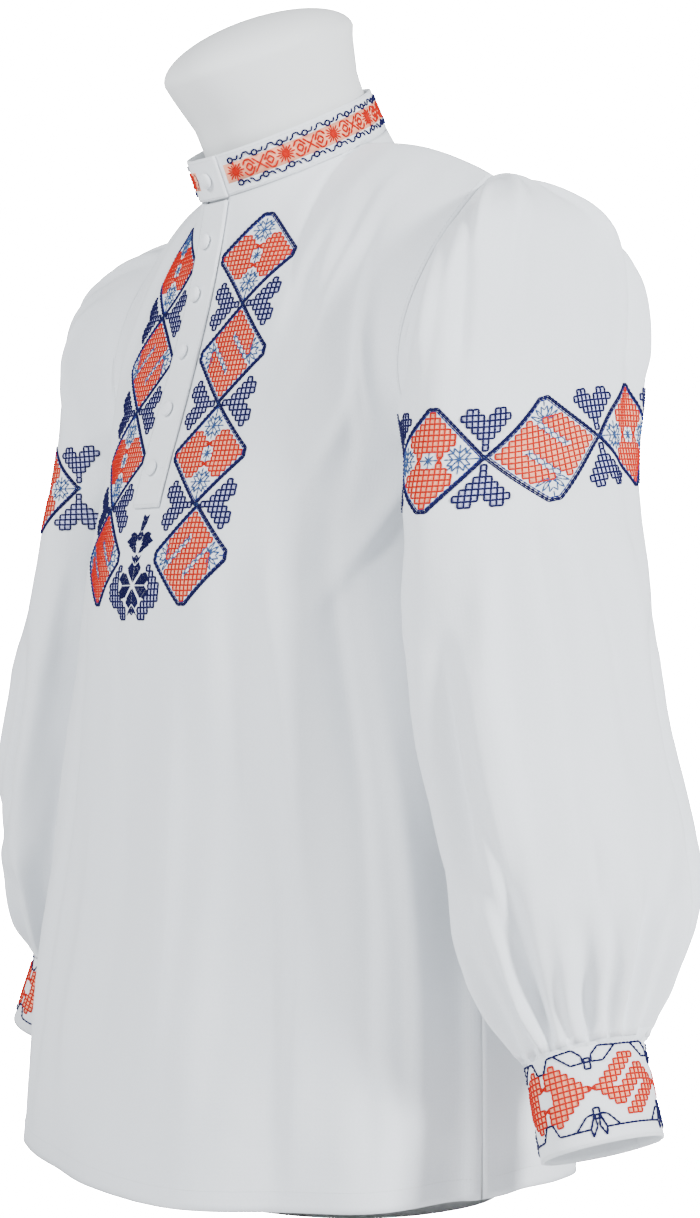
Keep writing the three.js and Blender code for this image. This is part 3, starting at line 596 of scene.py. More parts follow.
def raised(nodes, links, height, strength, distance, under=None):
    """A relief of that height, in metres, over another one or over the bare surface."""
    bump = nodes.new("ShaderNodeBump")
    bump.inputs["Strength"].default_value = strength
    bump.inputs["Distance"].default_value = distance
    links.new(height, bump.inputs["Height"])
    if under is not None:
        links.new(under, bump.inputs["Normal"])
    return bump.outputs["Normal"]


WAVE_FACTOR = 20  # of the wave pattern's own scale


def cotton_material(name, light, dark, weave=0.00055):
    """Plain-woven cotton: threads over and under by the piece's own UV map, with slubs and soft crumple."""
    material, nodes, links, shader = new_material(name, 0.88, 0.12)
    uv = nodes.new("ShaderNodeUVMap")
    uv.uv_map = "cut"
    threads = nodes.new("ShaderNodeMath")
    threads.operation = "MAXIMUM"
    for k, axis in enumerate(("X", "Y")):
        wave = nodes.new("ShaderNodeTexWave")
        wave.bands_direction = axis
        wave.inputs["Scale"].default_value = 1 / (weave * WAVE_FACTOR)
        wave.inputs["Distortion"].default_value = 0.6
        wave.inputs["Detail"].default_value = 1.0
        links.new(uv.outputs["UV"], wave.inputs["Vector"])
        links.new(wave.outputs["Fac"], threads.inputs[k])
    woven = raised(nodes, links, threads.outputs["Value"], 0.35, 0.00012)
    crumpled = raised(nodes, links, noise_over(nodes, links, 70, 4), 0.25, 0.0012, woven)
    links.new(crumpled, shader.inputs["Normal"])
    slubs = nodes.new("ShaderNodeMapRange")
    slubs.inputs["From Min"].default_value = 0.3
    slubs.inputs["From Max"].default_value = 0.7
    links.new(noise_over(nodes, links, 900, 3), slubs.inputs["Value"])
    two_tones(nodes, links, shader, slubs.outputs["Result"], dark, light)
    return material


COTTON = cotton_material("white_cotton", (0.83, 0.855, 0.88), (0.79, 0.815, 0.845))
BAND_COTTON = cotton_material("folded_cotton", (0.84, 0.86, 0.88), (0.8, 0.825, 0.85))
BUTTON_COTTON = cotton_material("button_cotton", (0.84, 0.86, 0.88), (0.78, 0.8, 0.83), weave=0.0004)


def form_material():
    material, nodes, links, shader = new_material("dress_form_skin", 0.6)
    two_tones(nodes, links, shader, noise_over(nodes, links, 9, 3), (0.78, 0.79, 0.78), (0.84, 0.85, 0.845))
    grain = raised(nodes, links, noise_over(nodes, links, 260, 5), 0.15, 0.0003)
    links.new(grain, shader.inputs["Normal"])
    return material


FORM_SKIN = form_material()


# ---- Making pieces ----------------------------------------------------------------------------------
def to_metres(points):
    return (points + np.array([0, 0, STAND])) * MM


def finish_piece(bm, name, material, thick=0.0):
    for face in bm.faces:
        face.smooth = True
    mesh = bpy.data.meshes.new(name)
    bm.to_mesh(mesh)
    bm.free()
    piece = bpy.data.objects.new(name, mesh)
    bpy.context.scene.collection.objects.link(piece)
    piece.data.materials.append(material)
    if thick:
        wall = piece.modifiers.new("wall", "SOLIDIFY")
        wall.thickness = thick * MM
        wall.offset = -1
    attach(piece, "root")
    return piece


def cloth(name, place, columns, rows, size, turn, thick, keep=None, closed=False, material=COTTON):
    """A sheet laid on place(u, v), u and v from 0 to 1. size is its flat width and length in millimetres,
    turn is -1 where the grid's own faces look inwards, and keep says which faces stay."""
    bm = bmesh.new()
    bmesh.ops.create_grid(bm, x_segments=columns, y_segments=rows, size=0.5)
    if keep:
        middles = {face: face.calc_center_median() for face in bm.faces}
        away = [face for face, middle in middles.items() if not keep(middle.x + 0.5, middle.y + 0.5)]
        bmesh.ops.delete(bm, geom=away, context="FACES")
    layer = bm.loops.layers.uv.new("cut")
    for face in bm.faces:
        for loop in face.loops:
            spot = loop.vert.co
            loop[layer].uv = ((spot.x + 0.5) * size[0] * MM, (spot.y + 0.5) * size[1] * MM)
    at = np.array([vert.co[:2] for vert in bm.verts]) + 0.5
    points = to_metres(place(at[:, 0], at[:, 1]))
    for vert, point in zip(bm.verts, points):
        vert.co = point
    if closed:
        bmesh.ops.remove_doubles(bm, verts=bm.verts, dist=2e-6)
    if turn < 0:
        bmesh.ops.reverse_faces(bm, faces=bm.faces)
    return finish_piece(bm, name, material, thick)


# ---- Front and back ---------------------------------------------------------------------------------
SIDE_COLUMNS, MIDDLE_COLUMNS = 72, 8
BODY_ROWS = 160
BODY_SPLIT = SIDE_COLUMNS / (2 * SIDE_COLUMNS + MIDDLE_COLUMNS)
FOOT_ROW = 99 / BODY_ROWS
FRONT_CUT = (600, 760)
BACK_CUT = (600, 790)


def panel_share(u):
    return np.interp(u, [0, BODY_SPLIT, 1 - BODY_SPLIT, 1], [-1, -PLACKET_SHARE, PLACKET_SHARE, 1])


def panel_level(v):
    return np.interp(v, [0, FOOT_ROW, 1], [0, level_of(PLACKET_FOOT), 2])


def panel(name, facing, cut, keep=None):
    def place(u, v):
        return body_point(panel_share(u), panel_level(v), facing)

    columns = 2 * SIDE_COLUMNS + MIDDLE_COLUMNS
    return cloth(name, place, columns, BODY_ROWS, cut, turn=-facing, thick=CLOTH, keep=keep)


def beside_slit(u, v):
    return v <= FOOT_ROW or abs(u - 0.5) >= 0.5 - BODY_SPLIT


front = panel("front_cloth", -1, FRONT_CUT, beside_slit)
back = panel("back_cloth", 1, BACK_CUT)
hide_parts("front")
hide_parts("back")


# ---- Placket ----------------------------------------------------------------------------------------
def placket_share(x):
    return PLACKET_SHARE * x / PLACKET_HALF


def front_base(share, level):
    return body_base(share, level, -1)


def over_front(share, level, lift):
    """The front's surface, moved outwards by lift."""
    return front_base(share, level) + normal_of(front_base, share, level, 1, 1e-3, 1e-3) * lift


def strip_place(half_from, half_to, foot, lift):
    def place(u, v):
        return over_front(placket_share(lerp(half_from, half_to, u)), lerp(foot, PLACKET_TOP, v), lift)

    return place


PLACKET_CUT = (29, 228)
PLACKET_LIFT = LAY_GAP + BAND
placket_over = cloth(
    "placket_over_cloth", strip_place(-13.5, 15.5, level_of(PLACKET_FOOT) - 0.008, PLACKET_LIFT),
    columns=16, rows=110, size=PLACKET_CUT, turn=1, thick=PLACKET_WALL, material=BAND_COTTON,
)
placket_under = cloth(
    "placket_under_cloth", strip_place(-13.4, 13.4, level_of(PLACKET_FOOT) + 0.004, 0),
    columns=12, rows=90, size=PLACKET_CUT, turn=1, thick=CLOTH, material=BAND_COTTON,
)
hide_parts("placket_over")
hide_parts("placket_under")

# ---- Collar, sleeves and cuffs ----------------------------------------------------------------------
COLLAR_CUT = (442, 32)
collar = cloth(
    "collar_cloth",
    lambda u, v: collar_point(lerp(COLLAR_UNDER, 360 + COLLAR_OVER, u), v * COLLAR_HEIGHT),
    columns=190, rows=12, size=COLLAR_CUT, turn=1, thick=DOUBLE, material=BAND_COTTON,
)
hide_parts("collar")

SLEEVE_CUT = (560, 610)
CUFF_CUT = (270, 63)
CUFF_END = CUFF_START + 360 + CUFF_LAP
sleeves, cuffs = {}, {}
for name, side in SIDES:
    sleeves[name] = cloth(
        f"sleeve_{name}_cloth",
        lambda u, v, side=side: sleeve_point(u * 360, v, side),
        columns=216, rows=132, size=SLEEVE_CUT, turn=side, thick=CLOTH, closed=True,
    )
    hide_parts(f"sleeve_{name}")
    cuffs[name] = cloth(
        f"cuff_{name}_cloth",
        lambda u, v, side=side: cuff_point(lerp(CUFF_START, CUFF_END, u), v * CUFF_HEIGHT, side),
        columns=130, rows=16, size=CUFF_CUT, turn=side, thick=DOUBLE, material=BAND_COTTON,
    )
    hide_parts(f"cuff_{name}")

# ---- Seams ------------------------------------------------------------------------------------------
# The seam allowances, turned inside: narrow strips just behind each seam.
ALLOWANCE = 0.5  # thick
SIDE_IN, ARM_IN, NECK_IN, CUFF_IN = 1.2, 1.6, 1.5, 2.3  # how far behind its seam each one lies


def seam_strip(name, place, columns, rows, size, closed=False):
    return cloth(name, place, columns, rows, size, 1, ALLOWANCE, closed=closed)


def side_seam(side):
    def place(u, v):
        level = lerp(level_of(HEM_SIDE + VENT + 6), 0.995, v)
        edges = [body_base(side * (1 - 0.014 * np.ones_like(u)), level, facing) for facing in (-1, 1)]
        p = lerp(edges[0], edges[1], u[:, None])
        p[:, 0] -= side * SIDE_IN
        return p

    return place


def armhole_seam(side):
    def place(u, v):
        turn = turn_of(u * 360)
        ring = armhole(np.abs(turn), np.where(turn < 0, 1.0, -1.0), side)
        middle = np.array([side * (TIP_X + UNDERARM_X) / 2, TIP_Y, ARM_Z])
        inward = unit((middle - ring) * np.array([0.2, 1, 1]))
        p = ring + inward * ARM_IN
        p[:, 0] += side * (v - 0.5) * 9
        return p

    return place


def neck_seam(u, v):
    ring = neckline(u * 360)
    outward = unit(ring - np.array([0, NECK_Y, NECK_Z]))
    return ring - outward * NECK_IN + NECK_AXIS * (lerp(-6, 7, v))[:, None]


def gather_seam(side):
    def place(u, v):
        turn = CUFF_START + u * 360
        top = cuff_point(turn, np.full(np.shape(u), 5.0), side)
        bottom = sleeve_point(turn, np.full(np.shape(u), 0.992), side)
        top = top - unit(top - top.mean(0)) * CUFF_IN
        return lerp(bottom, top, v[:, None])

    return place


neck_seam_strip = seam_strip("neck_seam_allowance", neck_seam, 120, 2, (440, 13), closed=True)
side_strips, arm_strips, gather_strips = {}, {}, {}
for name, side in SIDES:
    side_strips[name] = seam_strip(f"side_seam_allowance_{name}", side_seam(side), 2, 60, (12, 400))
    arm_strips[name] = seam_strip(
        f"armhole_seam_allowance_{name}", armhole_seam(side), 120, 2, (500, 9), closed=True
    )
    gather_strips[name] = seam_strip(
        f"gather_seam_allowance_{name}", gather_seam(side), 240, 3, (240, 8), closed=True
    )


# ---- Buttons ----------------------------------------------------------------------------------------
BUTTON_PROFILE = [
    (0, 0), (4.1, 0), (5.3, 0.7), (5.7, 1.6), (5.45, 2.5), (4.6, 3.3), (3, 3.95), (1.4, 4.2), (0, 4.25)
]
BUTTON_STEPS = 24


def button(name, node, point, normal):
    bm = bmesh.new()
    chain = [bm.verts.new((x * MM, 0, z * MM)) for x, z in BUTTON_PROFILE]
    edges = [bm.edges.new(pair) for pair in zip(chain, chain[1:])]
    bmesh.ops.spin(
        bm, geom=chain + edges, cent=(0, 0, 0), axis=(0, 0, 1), angle=2 * np.pi,
        steps=BUTTON_STEPS, use_merge=True, use_duplicate=False,
    )
    bmesh.ops.remove_doubles(bm, verts=bm.verts, dist=1e-6)
    bmesh.ops.recalc_face_normals(bm, faces=bm.faces)
    turn = Vector((0, 0, 1)).rotation_difference(Vector(normal)).to_matrix().to_4x4()
    spot = to_metres(point + normal * LAY_GAP)
    bmesh.ops.transform(bm, matrix=Matrix.Translation(spot) @ turn, verts=bm.verts)
    layer = bm.loops.layers.uv.new("cut")
    for face in bm.faces:
        for loop in face.loops:
            loop[layer].uv = (loop.vert.co.x - loop.vert.co.y, loop.vert.co.z)
    piece = finish_piece(bm, name, BUTTON_COTTON)
    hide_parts(node)


def one(function, *values):
    """A surface function's answer for a single spot."""
    return function(*[np.array([float(v)]) for v in values])[0]


levels = np.linspace(level_of(PLACKET_FOOT), PLACKET_TOP, 2000)
heights = front_base(np.zeros_like(levels), levels)[:, 2]
for i, z in enumerate(BUTTON_HEIGHTS):
    level = levels[np.searchsorted(heights, z)]
    n = one(lambda a, b: normal_of(front_base, a, b, 1, 1e-3, 1e-3), 0, level)
    button(f"covered_button_{i + 1}", f"button_{i + 1}", one(front_base, 0, level) + n * PLACKET_LIFT, n)
COLLAR_BUTTON, CUFF_BUTTON = 361, CUFF_START + 360 + CUFF_LAP / 2 - 4  # degrees round each band
n = one(lambda a, b: normal_of(collar_point, a, b, 1, 1, 1), COLLAR_BUTTON, COLLAR_HEIGHT / 2)
button("covered_button_collar", "button_collar", one(collar_point, COLLAR_BUTTON, COLLAR_HEIGHT / 2), n)
for name, side in SIDES:
    n = one(
        lambda a, b: normal_of(lambda c, d: cuff_point(c, d, side), a, b, side, 1, 1),
        CUFF_BUTTON, CUFF_HEIGHT / 2,
    )
    spot = one(lambda a, b: cuff_point(a, b, side), CUFF_BUTTON, CUFF_HEIGHT / 2)
    button(f"covered_button_cuff_{name}", f"button_cuff_{name}", spot, n)


# ---- Dress form -------------------------------------------------------------------------------------
BASE_SHARE, DOME_SHARE = 0.04, 0.14  # of the grid's rows, for the flat base and the domed crown


def form_point(u, v):
    """v runs from the middle of the base, 0, over the rings to the crown, 1."""
    row = np.clip((v - BASE_SHARE) / (1 - BASE_SHARE - DOME_SHARE), 0, 1) * (len(FORM) - 1)
    shrink = np.clip(v / BASE_SHARE, 0, 1)
    dome = np.clip((v - 1 + DOME_SHARE) / DOME_SHARE, 0, 1)
    share = shrink * np.cos(dome * np.pi / 2)
    half, depth = form_at("half", row) * share, form_at("depth", row) * share
    x, d = section(u * 360, half, depth, form_at("square", row))
    tilt = np.radians(form_at("lean", row))
    rise = FORM_DOME * np.sin(dome * np.pi / 2)
    return vec(
        x,
        form_at("y", row) - d * np.cos(tilt) - rise * np.sin(tilt),
        form_at("z", row) - d * np.sin(tilt) + rise * np.cos(tilt),
    )


FORM_COUNT, FORM_ROWS = 96, 100


def dress_form():
    bm = bmesh.new()
    bmesh.ops.create_grid(bm, x_segments=FORM_COUNT, y_segments=FORM_ROWS, size=0.5)
    at = np.array([vert.co[:2] for vert in bm.verts]) + 0.5
    at[:, 1] = np.round(at[:, 1] * FORM_ROWS) / FORM_ROWS
    for vert, point in zip(bm.verts, to_metres(form_point(at[:, 0], at[:, 1]))):
        vert.co = point
    bmesh.ops.remove_doubles(bm, verts=bm.verts, dist=1e-5)
    bmesh.ops.recalc_face_normals(bm, faces=bm.faces)
    piece = finish_piece(bm, "dress_form_skin", FORM_SKIN)
    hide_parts("dress_form")


dress_form()

# ---- Embroidery: threads ----------------------------------------------------------------------------
# Every motif is charted in squares of counted thread, (across, along) its band, and laid on the cloth
# through a canvas: a grid of surface points with its distances in millimetres.
SQUARE = 3.65
STITCH = 3.7
LONGEST = 4.2  # half a stitch, past which it is left out
PLAIN, FINE, BOLD, SLIM, SATIN = 0.62, 0.5, 0.74, 0.45, 0.4  # a stitch's radius
STITCH_ENDS = 0.03  # the share that each end of a stitch stops short by
STITCH_LIFT, STITCH_TAPER = (0.15, 0.75, 0.15), (0.72, 1.0, 0.72)  # shares of the radius, start to end
GROUND_LIFT, GROUND_THICK, GROUND_TORN = 0.1, 0.06, 1.3
NAVY, INDIGO, ORANGE, STEEL = "navy", "indigo", "orange", "steel"
THREADS = {
    NAVY: ((0.002, 0.002, 0.04), (0.005, 0.005, 0.065)),
    INDIGO: ((0.01, 0.015, 0.15), (0.02, 0.03, 0.2)),
    ORANGE: ((0.4, 0.004, 0.0004), (0.55, 0.011, 0.0008)),
    STEEL: ((0.024, 0.06, 0.18), (0.05, 0.105, 0.25)),
}
PEACH, LAVENDER = "peach", "lavender"
GROUNDS = {
    PEACH: ((0.93, 0.34, 0.2), (0.98, 0.42, 0.27)),
    LAVENDER: ((0.52, 0.54, 0.86), (0.6, 0.62, 0.9)),
}


def thread_material(name, dark, light, scale=1400, rough=0.6):
    material, nodes, links, shader = new_material(name, rough)
    shader.inputs["Specular IOR Level"].default_value = 0.12
    fibre = noise_over(nodes, links, scale, 4)
    two_tones(nodes, links, shader, fibre, dark, light)
    links.new(raised(nodes, links, fibre, 0.4, 0.00015), shader.inputs["Normal"])
    return material


THREAD_MATERIALS = {name: thread_material(f"{name}_thread", *tones) for name, tones in THREADS.items()}
GROUND_MATERIALS = {
    name: thread_material(f"{name}_ground", *tones, scale=500, rough=0.9)
    for name, tones in GROUNDS.items()
}


def surface_of(piece):
    mesh = piece.data
    return BVHTree.FromPolygons([v.co for v in mesh.vertices], [p.vertices for p in mesh.polygons])


class Canvas:
    """A grid of surface points, in metres, over distances xs and ys in millimetres, on a piece's mesh."""

    def __init__(self, piece, xs, ys, points):
        self.xs, self.ys, self.points = np.asarray(xs, float), np.asarray(ys, float), points
        self.tree = surface_of(piece)
        self.threads, self.grounds = {}, {}

    def at(self, places):
        places = np.asarray(places, float)
        i = np.clip(np.searchsorted(self.xs, places[:, 0]) - 1, 0, len(self.xs) - 2)
        j = np.clip(np.searchsorted(self.ys, places[:, 1]) - 1, 0, len(self.ys) - 2)
        s = ((places[:, 0] - self.xs[i]) / (self.xs[i + 1] - self.xs[i]))[:, None]
        t = ((places[:, 1] - self.ys[j]) / (self.ys[j + 1] - self.ys[j]))[:, None]
        p = self.points
        return lerp(lerp(p[i, j], p[i + 1, j], s), lerp(p[i, j + 1], p[i + 1, j + 1], s), t)

    def seat(self, places):
        """The nearest points of the cloth, with their outward normals."""
        found = [self.tree.find_nearest(Vector(p))[:2] for p in self.at(places)]
        return np.array([spot for spot, _ in found]), np.array([normal for _, normal in found])

    def sew(self, colour, lines, radius=PLAIN):
        self.threads.setdefault((colour, radius), []).extend(lines)

    def fill(self, colour, squares):
        self.grounds.setdefault(colour, []).extend(squares)


def split_stitches(lines):
    """Each straight line as running stitches: its start, middle and end points."""
    stitches = []
    for a, b in lines:
        a, b = np.array(a, float), np.array(b, float)
        count = max(1, round(np.hypot(*(b - a)) / STITCH))
        for k in range(count):
            p, q = lerp(a, b, k / count), lerp(a, b, (k + 1) / count)
            stitches.append([lerp(p, q, t) for t in (STITCH_ENDS, 0.5, 1 - STITCH_ENDS)])
    return stitches


def thread_curve(name, radius, roundness):
    curve = bpy.data.curves.new(name, "CURVE")
    curve.dimensions = "3D"
    curve.bevel_depth = radius * MM
    curve.bevel_resolution = roundness
    curve.use_fill_caps = True
    return curve


def curve_mesh(curve):
    holder = bpy.data.objects.new(curve.name, curve)
    bpy.context.scene.collection.objects.link(holder)
    bpy.context.view_layer.update()
    mesh = bpy.data.meshes.new_from_object(holder.evaluated_get(bpy.context.evaluated_depsgraph_get()))
    bpy.data.objects.remove(holder)
    return mesh


def thread_piece(name, canvas, groups, colour):
    """One mesh of all the stitches of a colour: each a short thread that dips into the cloth at its ends."""
    bm = bmesh.new()
    for radius, lines in groups:
        stitches = split_stitches(lines)
        spots, normals = canvas.seat([p for stitch in stitches for p in stitch])
        curve = thread_curve(name, radius, 0 if radius <= FINE else 1)
        lifts = np.tile(STITCH_LIFT, len(stitches)) * radius * MM
        spots = spots + normals * lifts[:, None]
        for k in range(len(stitches)):
            run = spots[3 * k:3 * k + 3]
            if np.linalg.norm(np.diff(run, axis=0), axis=1).max() > LONGEST * MM:
                continue  # the cloth doubles back there, and hides the stitch in its fold
            spline = curve.splines.new("POLY")
            spline.points.add(2)
            spline.points.foreach_set("co", np.c_[run, np.ones(3)].ravel())
            spline.points.foreach_set("radius", STITCH_TAPER)
        bm.from_mesh(curve_mesh(curve))
    return finish_piece(bm, name, THREAD_MATERIALS[colour])


def ground_piece(name, canvas, squares, colour):
    """Tinted ground under the lattices: a thin patch for each square, just off the cloth. A square that a
    fold of the cloth tears apart is left out."""
    bm = bmesh.new()
    for x, y, across, along in squares:
        corners = bmesh.ops.create_grid(bm, x_segments=1, y_segments=1, size=0.5)["verts"]
        local = np.array([vert.co[:2] for vert in corners])
        places = np.array([x, y]) + local[:, :1] * np.array(across) + local[:, 1:] * np.array(along)
        spots, normals = canvas.seat(places)
        if np.ptp(spots, axis=0).max() > GROUND_TORN * (np.hypot(*across) + np.hypot(*along)) * MM:
            bmesh.ops.delete(bm, geom=corners, context="VERTS")
            continue
        for vert, spot in zip(corners, spots + normals * GROUND_LIFT * MM):
            vert.co = spot
    bmesh.ops.remove_doubles(bm, verts=bm.verts, dist=1e-5)
    bmesh.ops.recalc_face_normals(bm, faces=bm.faces)
    for face in bm.faces:
        near = canvas.tree.find_nearest(face.calc_center_median())[1]
        if face.normal.dot(near) < 0:
            face.normal_flip()
    return finish_piece(bm, name, GROUND_MATERIALS[colour], GROUND_THICK)


def finish_canvas(name, canvas):
    for colour in THREADS:
        groups = [(radius, lines) for (shade, radius), lines in canvas.threads.items() if shade == colour]
        if groups:
            thread_piece(f"{name}_{colour}_stitches", canvas, groups, colour)
    for colour, squares in canvas.grounds.items():
        ground_piece(f"{name}_{colour}_ground", canvas, squares, colour)


# ---- Topstitching -----------------------------------------------------------------------------------
WHITE_THREAD = thread_material("white_sewing_thread", (0.74, 0.76, 0.78), (0.82, 0.84, 0.86))
TOP_STITCH, TOP_RADIUS = 2.8, 0.24
TOP_SHARES, TOP_LIFTS = (0.06, 0.43, 0.8), (-0.06, 0.2, -0.06)  # a stitch's places along, and off the cloth


def topstitch(name, piece, lines):
    """Rows of short stitches, pressed a little into the cloth, along lines of points in millimetres."""
    tree = surface_of(piece)
    curve = thread_curve(name, TOP_RADIUS, 0)
    for line in lines:
        line = to_metres(line)
        far = np.concatenate([[0], np.cumsum(np.linalg.norm(np.diff(line, axis=0), axis=1))])
        for start in np.arange(0, far[-1] - TOP_STITCH * MM, TOP_STITCH * MM):
            spline = curve.splines.new("POLY")
            spline.points.add(2)
            for point, share, lift in zip(spline.points, TOP_SHARES, TOP_LIFTS):
                at = [np.interp(start + share * TOP_STITCH * MM, far, line[:, axis]) for axis in range(3)]
                spot, normal = tree.find_nearest(Vector(at))[:2]
                point.co = (*(spot + normal * lift * MM), 1)
    bm = bmesh.new()
    bm.from_mesh(curve_mesh(curve))
    return finish_piece(bm, name, WHITE_THREAD)


def hem_line(facing):
    share = np.linspace(-0.975, 0.975, 400)
    level = (HEM_FOLD - 1.5) * np.ones_like(share) / (UNDERARM_Z - hem_at(share, facing))
    return body_point(share, level, facing)


def vent_lines(facing):
    level = np.linspace(0.01, (VENT + 4) / (UNDERARM_Z - HEM_SIDE), 40)
    return [body_point(side * 0.982 * np.ones_like(level), level, facing) for side in (-1, 1)]


def along_placket(x):
    level = np.linspace(level_of(PLACKET_FOOT) + 0.004, PLACKET_TOP - 0.004, 200)
    return over_front(placket_share(x) * np.ones_like(level), level, PLACKET_LIFT)


def across_placket(level, low, high):
    share = placket_share(np.linspace(low, high, 30))
    return over_front(share, level * np.ones_like(share), PLACKET_LIFT)


def round_armhole(side, facing):
    """A row of stitches on the body's side of an armhole."""
    level = np.linspace(1.06, 1.97, 120)
    return body_point(side * 0.985 * np.ones_like(level), level, facing)


for name, piece, facing in (("front", front, -1), ("back", back, 1)):
    armhole_rows = [round_armhole(side, facing) for side in (-1, 1)]
    topstitch(f"{name}_topstitching", piece, [hem_line(facing), *vent_lines(facing), *armhole_rows])
placket_foot = level_of(PLACKET_FOOT) - 0.004
placket_rows = [across_placket(level, -12, 14) for level in (placket_foot, placket_foot + 0.05)]
topstitch("placket_topstitching", placket_over, [along_placket(-12), along_placket(14), *placket_rows])
turns = np.linspace(COLLAR_UNDER + 2, 360 + COLLAR_OVER - 2, 500)
collar_rows = [collar_point(turns, np.full(500, height)) for height in (1.8, COLLAR_HEIGHT - 1.8)]
topstitch("collar_topstitching", collar, collar_rows)
turns = np.linspace(CUFF_START + 3, CUFF_END - 2, 400)
for name, side in SIDES:
    cuff_rows = [cuff_point(turns, np.full(400, drop), side) for drop in (1.6, CUFF_HEIGHT - 1.8)]
    topstitch(f"cuff_topstitching_{name}", cuffs[name], cuff_rows)


# ---- Embroidery: motifs, in squares -----------------------------------------------------------------
def lattice_edges(cells):
    edges = set()
    for i, j in cells:
        edges |= {(i, j, 0), (i, j + 1, 0), (i, j, 1), (i + 1, j, 1)}
    lines = []
    for i, j, upright in edges:
        a = (i - 0.5, j - 0.5)
        lines.append((a, (a[0], a[1] + 1) if upright else (a[0] + 1, a[1])))
    return lines


def loop(points):
    return list(zip(points, points[1:] + points[:1]))


def path(points):
    return list(zip(points, points[1:]))


SPAN = range(-8, 9)
STAR_CELLS = {
    (i, j)
    for i in SPAN
    for j in SPAN
    if abs(i) + abs(j) <= 8 and abs(j) <= abs(i) + 1 and i != 0 and not (abs(i) == 1 and abs(j) < 2)
}
MEANDER_CELLS = {
    (i, j)
    for i in SPAN
    for j in SPAN
    if abs(i) + abs(j) <= 8
    and abs(i) <= 5
    and (
        abs(i + j) <= 2
        or (abs(i + j) in (3, 4) and (j - i) * (i + j) >= 5 * abs(i + j))
        or (abs(i + j) >= 5 and (i - j) * (1 if i + j > 0 else -1) <= 5)
    )
}
# Leaves, row by row from the stem: the squares of each row.
LEAF_ROWS = [
    (0,), (0,), (-1, 0, 1), range(-2, 3), range(-3, 4), (-4, -3, -2, -1, 1, 2, 3, 4), (-3, -2, 2, 3)
]
LEAF_CELLS = {(a, b) for b, row in enumerate(LEAF_ROWS) for a in row}
FOOT_LEAF_ROWS = [
    (-1,), (0,), (0, 1), (0, 1, 2), (0, 1, 2), (-1, 0, 1, 2), (-2, -1, 0, 1), (-3, -2, -1), (-3, -2)
]
FOOT_LEAF_CELLS = {(a, b) for b, row in enumerate(FOOT_LEAF_ROWS) for a in row}
STAR_LINKS = [
    line
    for s in (1, -1)
    for line in (((-0.5, 1.5 * s), (0.5, 2.5 * s)), ((-0.5, 2.5 * s), (0.5, 1.5 * s)))
]


def star_lines(x, y, size=1.05, ray=2.5):
    lines = []
    for turn in range(4):
        c, s = [(1, 0), (0, 1), (-1, 0), (0, -1)][turn]

        def put(a, b):
            return (x + size * (a * c - b * s), y + size * (a * s + b * c))

        lines += path([put(0, 0), put(1, 0), put(2, 1), put(1, 1), put(0, 0)])
        lines += path([put(1, 1), put(1, 2), put(0, 1)])
        lines += [(put(1, 0), put(ray, 0)), (put(1, 1), put(ray * 0.72, ray * 0.72))]
    return lines


def asterisk(x, y, long=1.7, short=1.2):
    lines = []
    for k in range(8):
        reach = short * 0.95 if k % 2 else long
        a = k * np.pi / 4
        lines.append(((x, y), (x + reach * np.cos(a), y + reach * np.sin(a))))
    return lines


def tulip_lines(flip):
    """A tulip in the corner at (+9, 0), its crown outwards."""
    shapes = [
        loop([(5.5, 0), (6.2, 0.65), (7.6, 0.65), (6.9, 0), (7.6, -0.65), (6.2, -0.65)]),
        loop([(5.4, 0.25), (6.7, 0.95), (7.3, 1.75), (6.1, 1.25)]),
        loop([(5.4, -0.25), (6.7, -0.95), (7.3, -1.75), (6.1, -1.25)]),
        loop([(5.2, 0.4), (5.9, 1.6), (6.3, 2.7), (5.2, 1.6)]),
        loop([(5.2, -0.4), (5.9, -1.6), (6.3, -2.7), (5.2, -1.6)]),
        [((7.6, 0), (8.6, 0))],
    ]
    return [((flip * a[0], a[1]), (flip * b[0], b[1])) for shape in shapes for a, b in shape]


CHAIN_LINKS, LINK_HALF = 4, 0.42


def chain_lines(start, end):
    """A small chain of six-sided links from start towards end, forked at its tip."""
    (x0, y0), (x1, y1) = start, end
    length = np.hypot(x1 - x0, y1 - y0)
    dx, dy = (x1 - x0) / length, (y1 - y0) / length
    step = length * 0.9 / CHAIN_LINKS

    def put(a, b):
        return (x0 + a * dx - b * dy, y0 + a * dy + b * dx)

    lines = []
    for s in np.arange(CHAIN_LINKS) * step:
        corners = [(0, 0), (0.3, 1), (0.7, 1), (1, 0), (0.7, -1), (0.3, -1)]
        lines += loop([put(s + a * step, b * LINK_HALF) for a, b in corners])
    tip = CHAIN_LINKS * step
    return lines + [(put(tip, 0), put(tip + 0.5, 0.5)), (put(tip, 0), put(tip + 0.5, -0.5))]


def mirror(lines, flip):
    return [((flip * a[0], a[1]), (flip * b[0], b[1])) for a, b in lines]


BLUNT_AT = 9.1  # how far out a lozenge's blunt corners lie, in squares


def corner_places(inset):
    reach = 10 - inset * np.sqrt(2)
    blunt = BLUNT_AT - inset
    return reach, blunt, reach - blunt


def outline_lines(inset):
    """A lozenge's outline, blunt at its sides and pointed where the next one meets it."""
    reach, blunt, rest = corner_places(inset)
    return loop([(0, reach), (blunt, rest), (blunt, -rest), (0, -reach), (-blunt, -rest), (-blunt, rest)])


def blunt_end(inset, sign):
    """The outline of an end lozenge, blunt at the chain's end as well."""
    reach, blunt, rest = corner_places(inset)
    points = [
        (-rest, sign * blunt), (rest, sign * blunt), (blunt, sign * rest), (blunt, -sign * rest),
        (0, -sign * reach), (-blunt, -sign * rest), (-blunt, sign * rest),
    ]
    return loop(points)


# The lozenge's outlines: how far inside the outermost, the thread and its radius.
OUTLINES = [(-0.16, NAVY, PLAIN), (0.14, NAVY, BOLD), (0.46, INDIGO, FINE)]


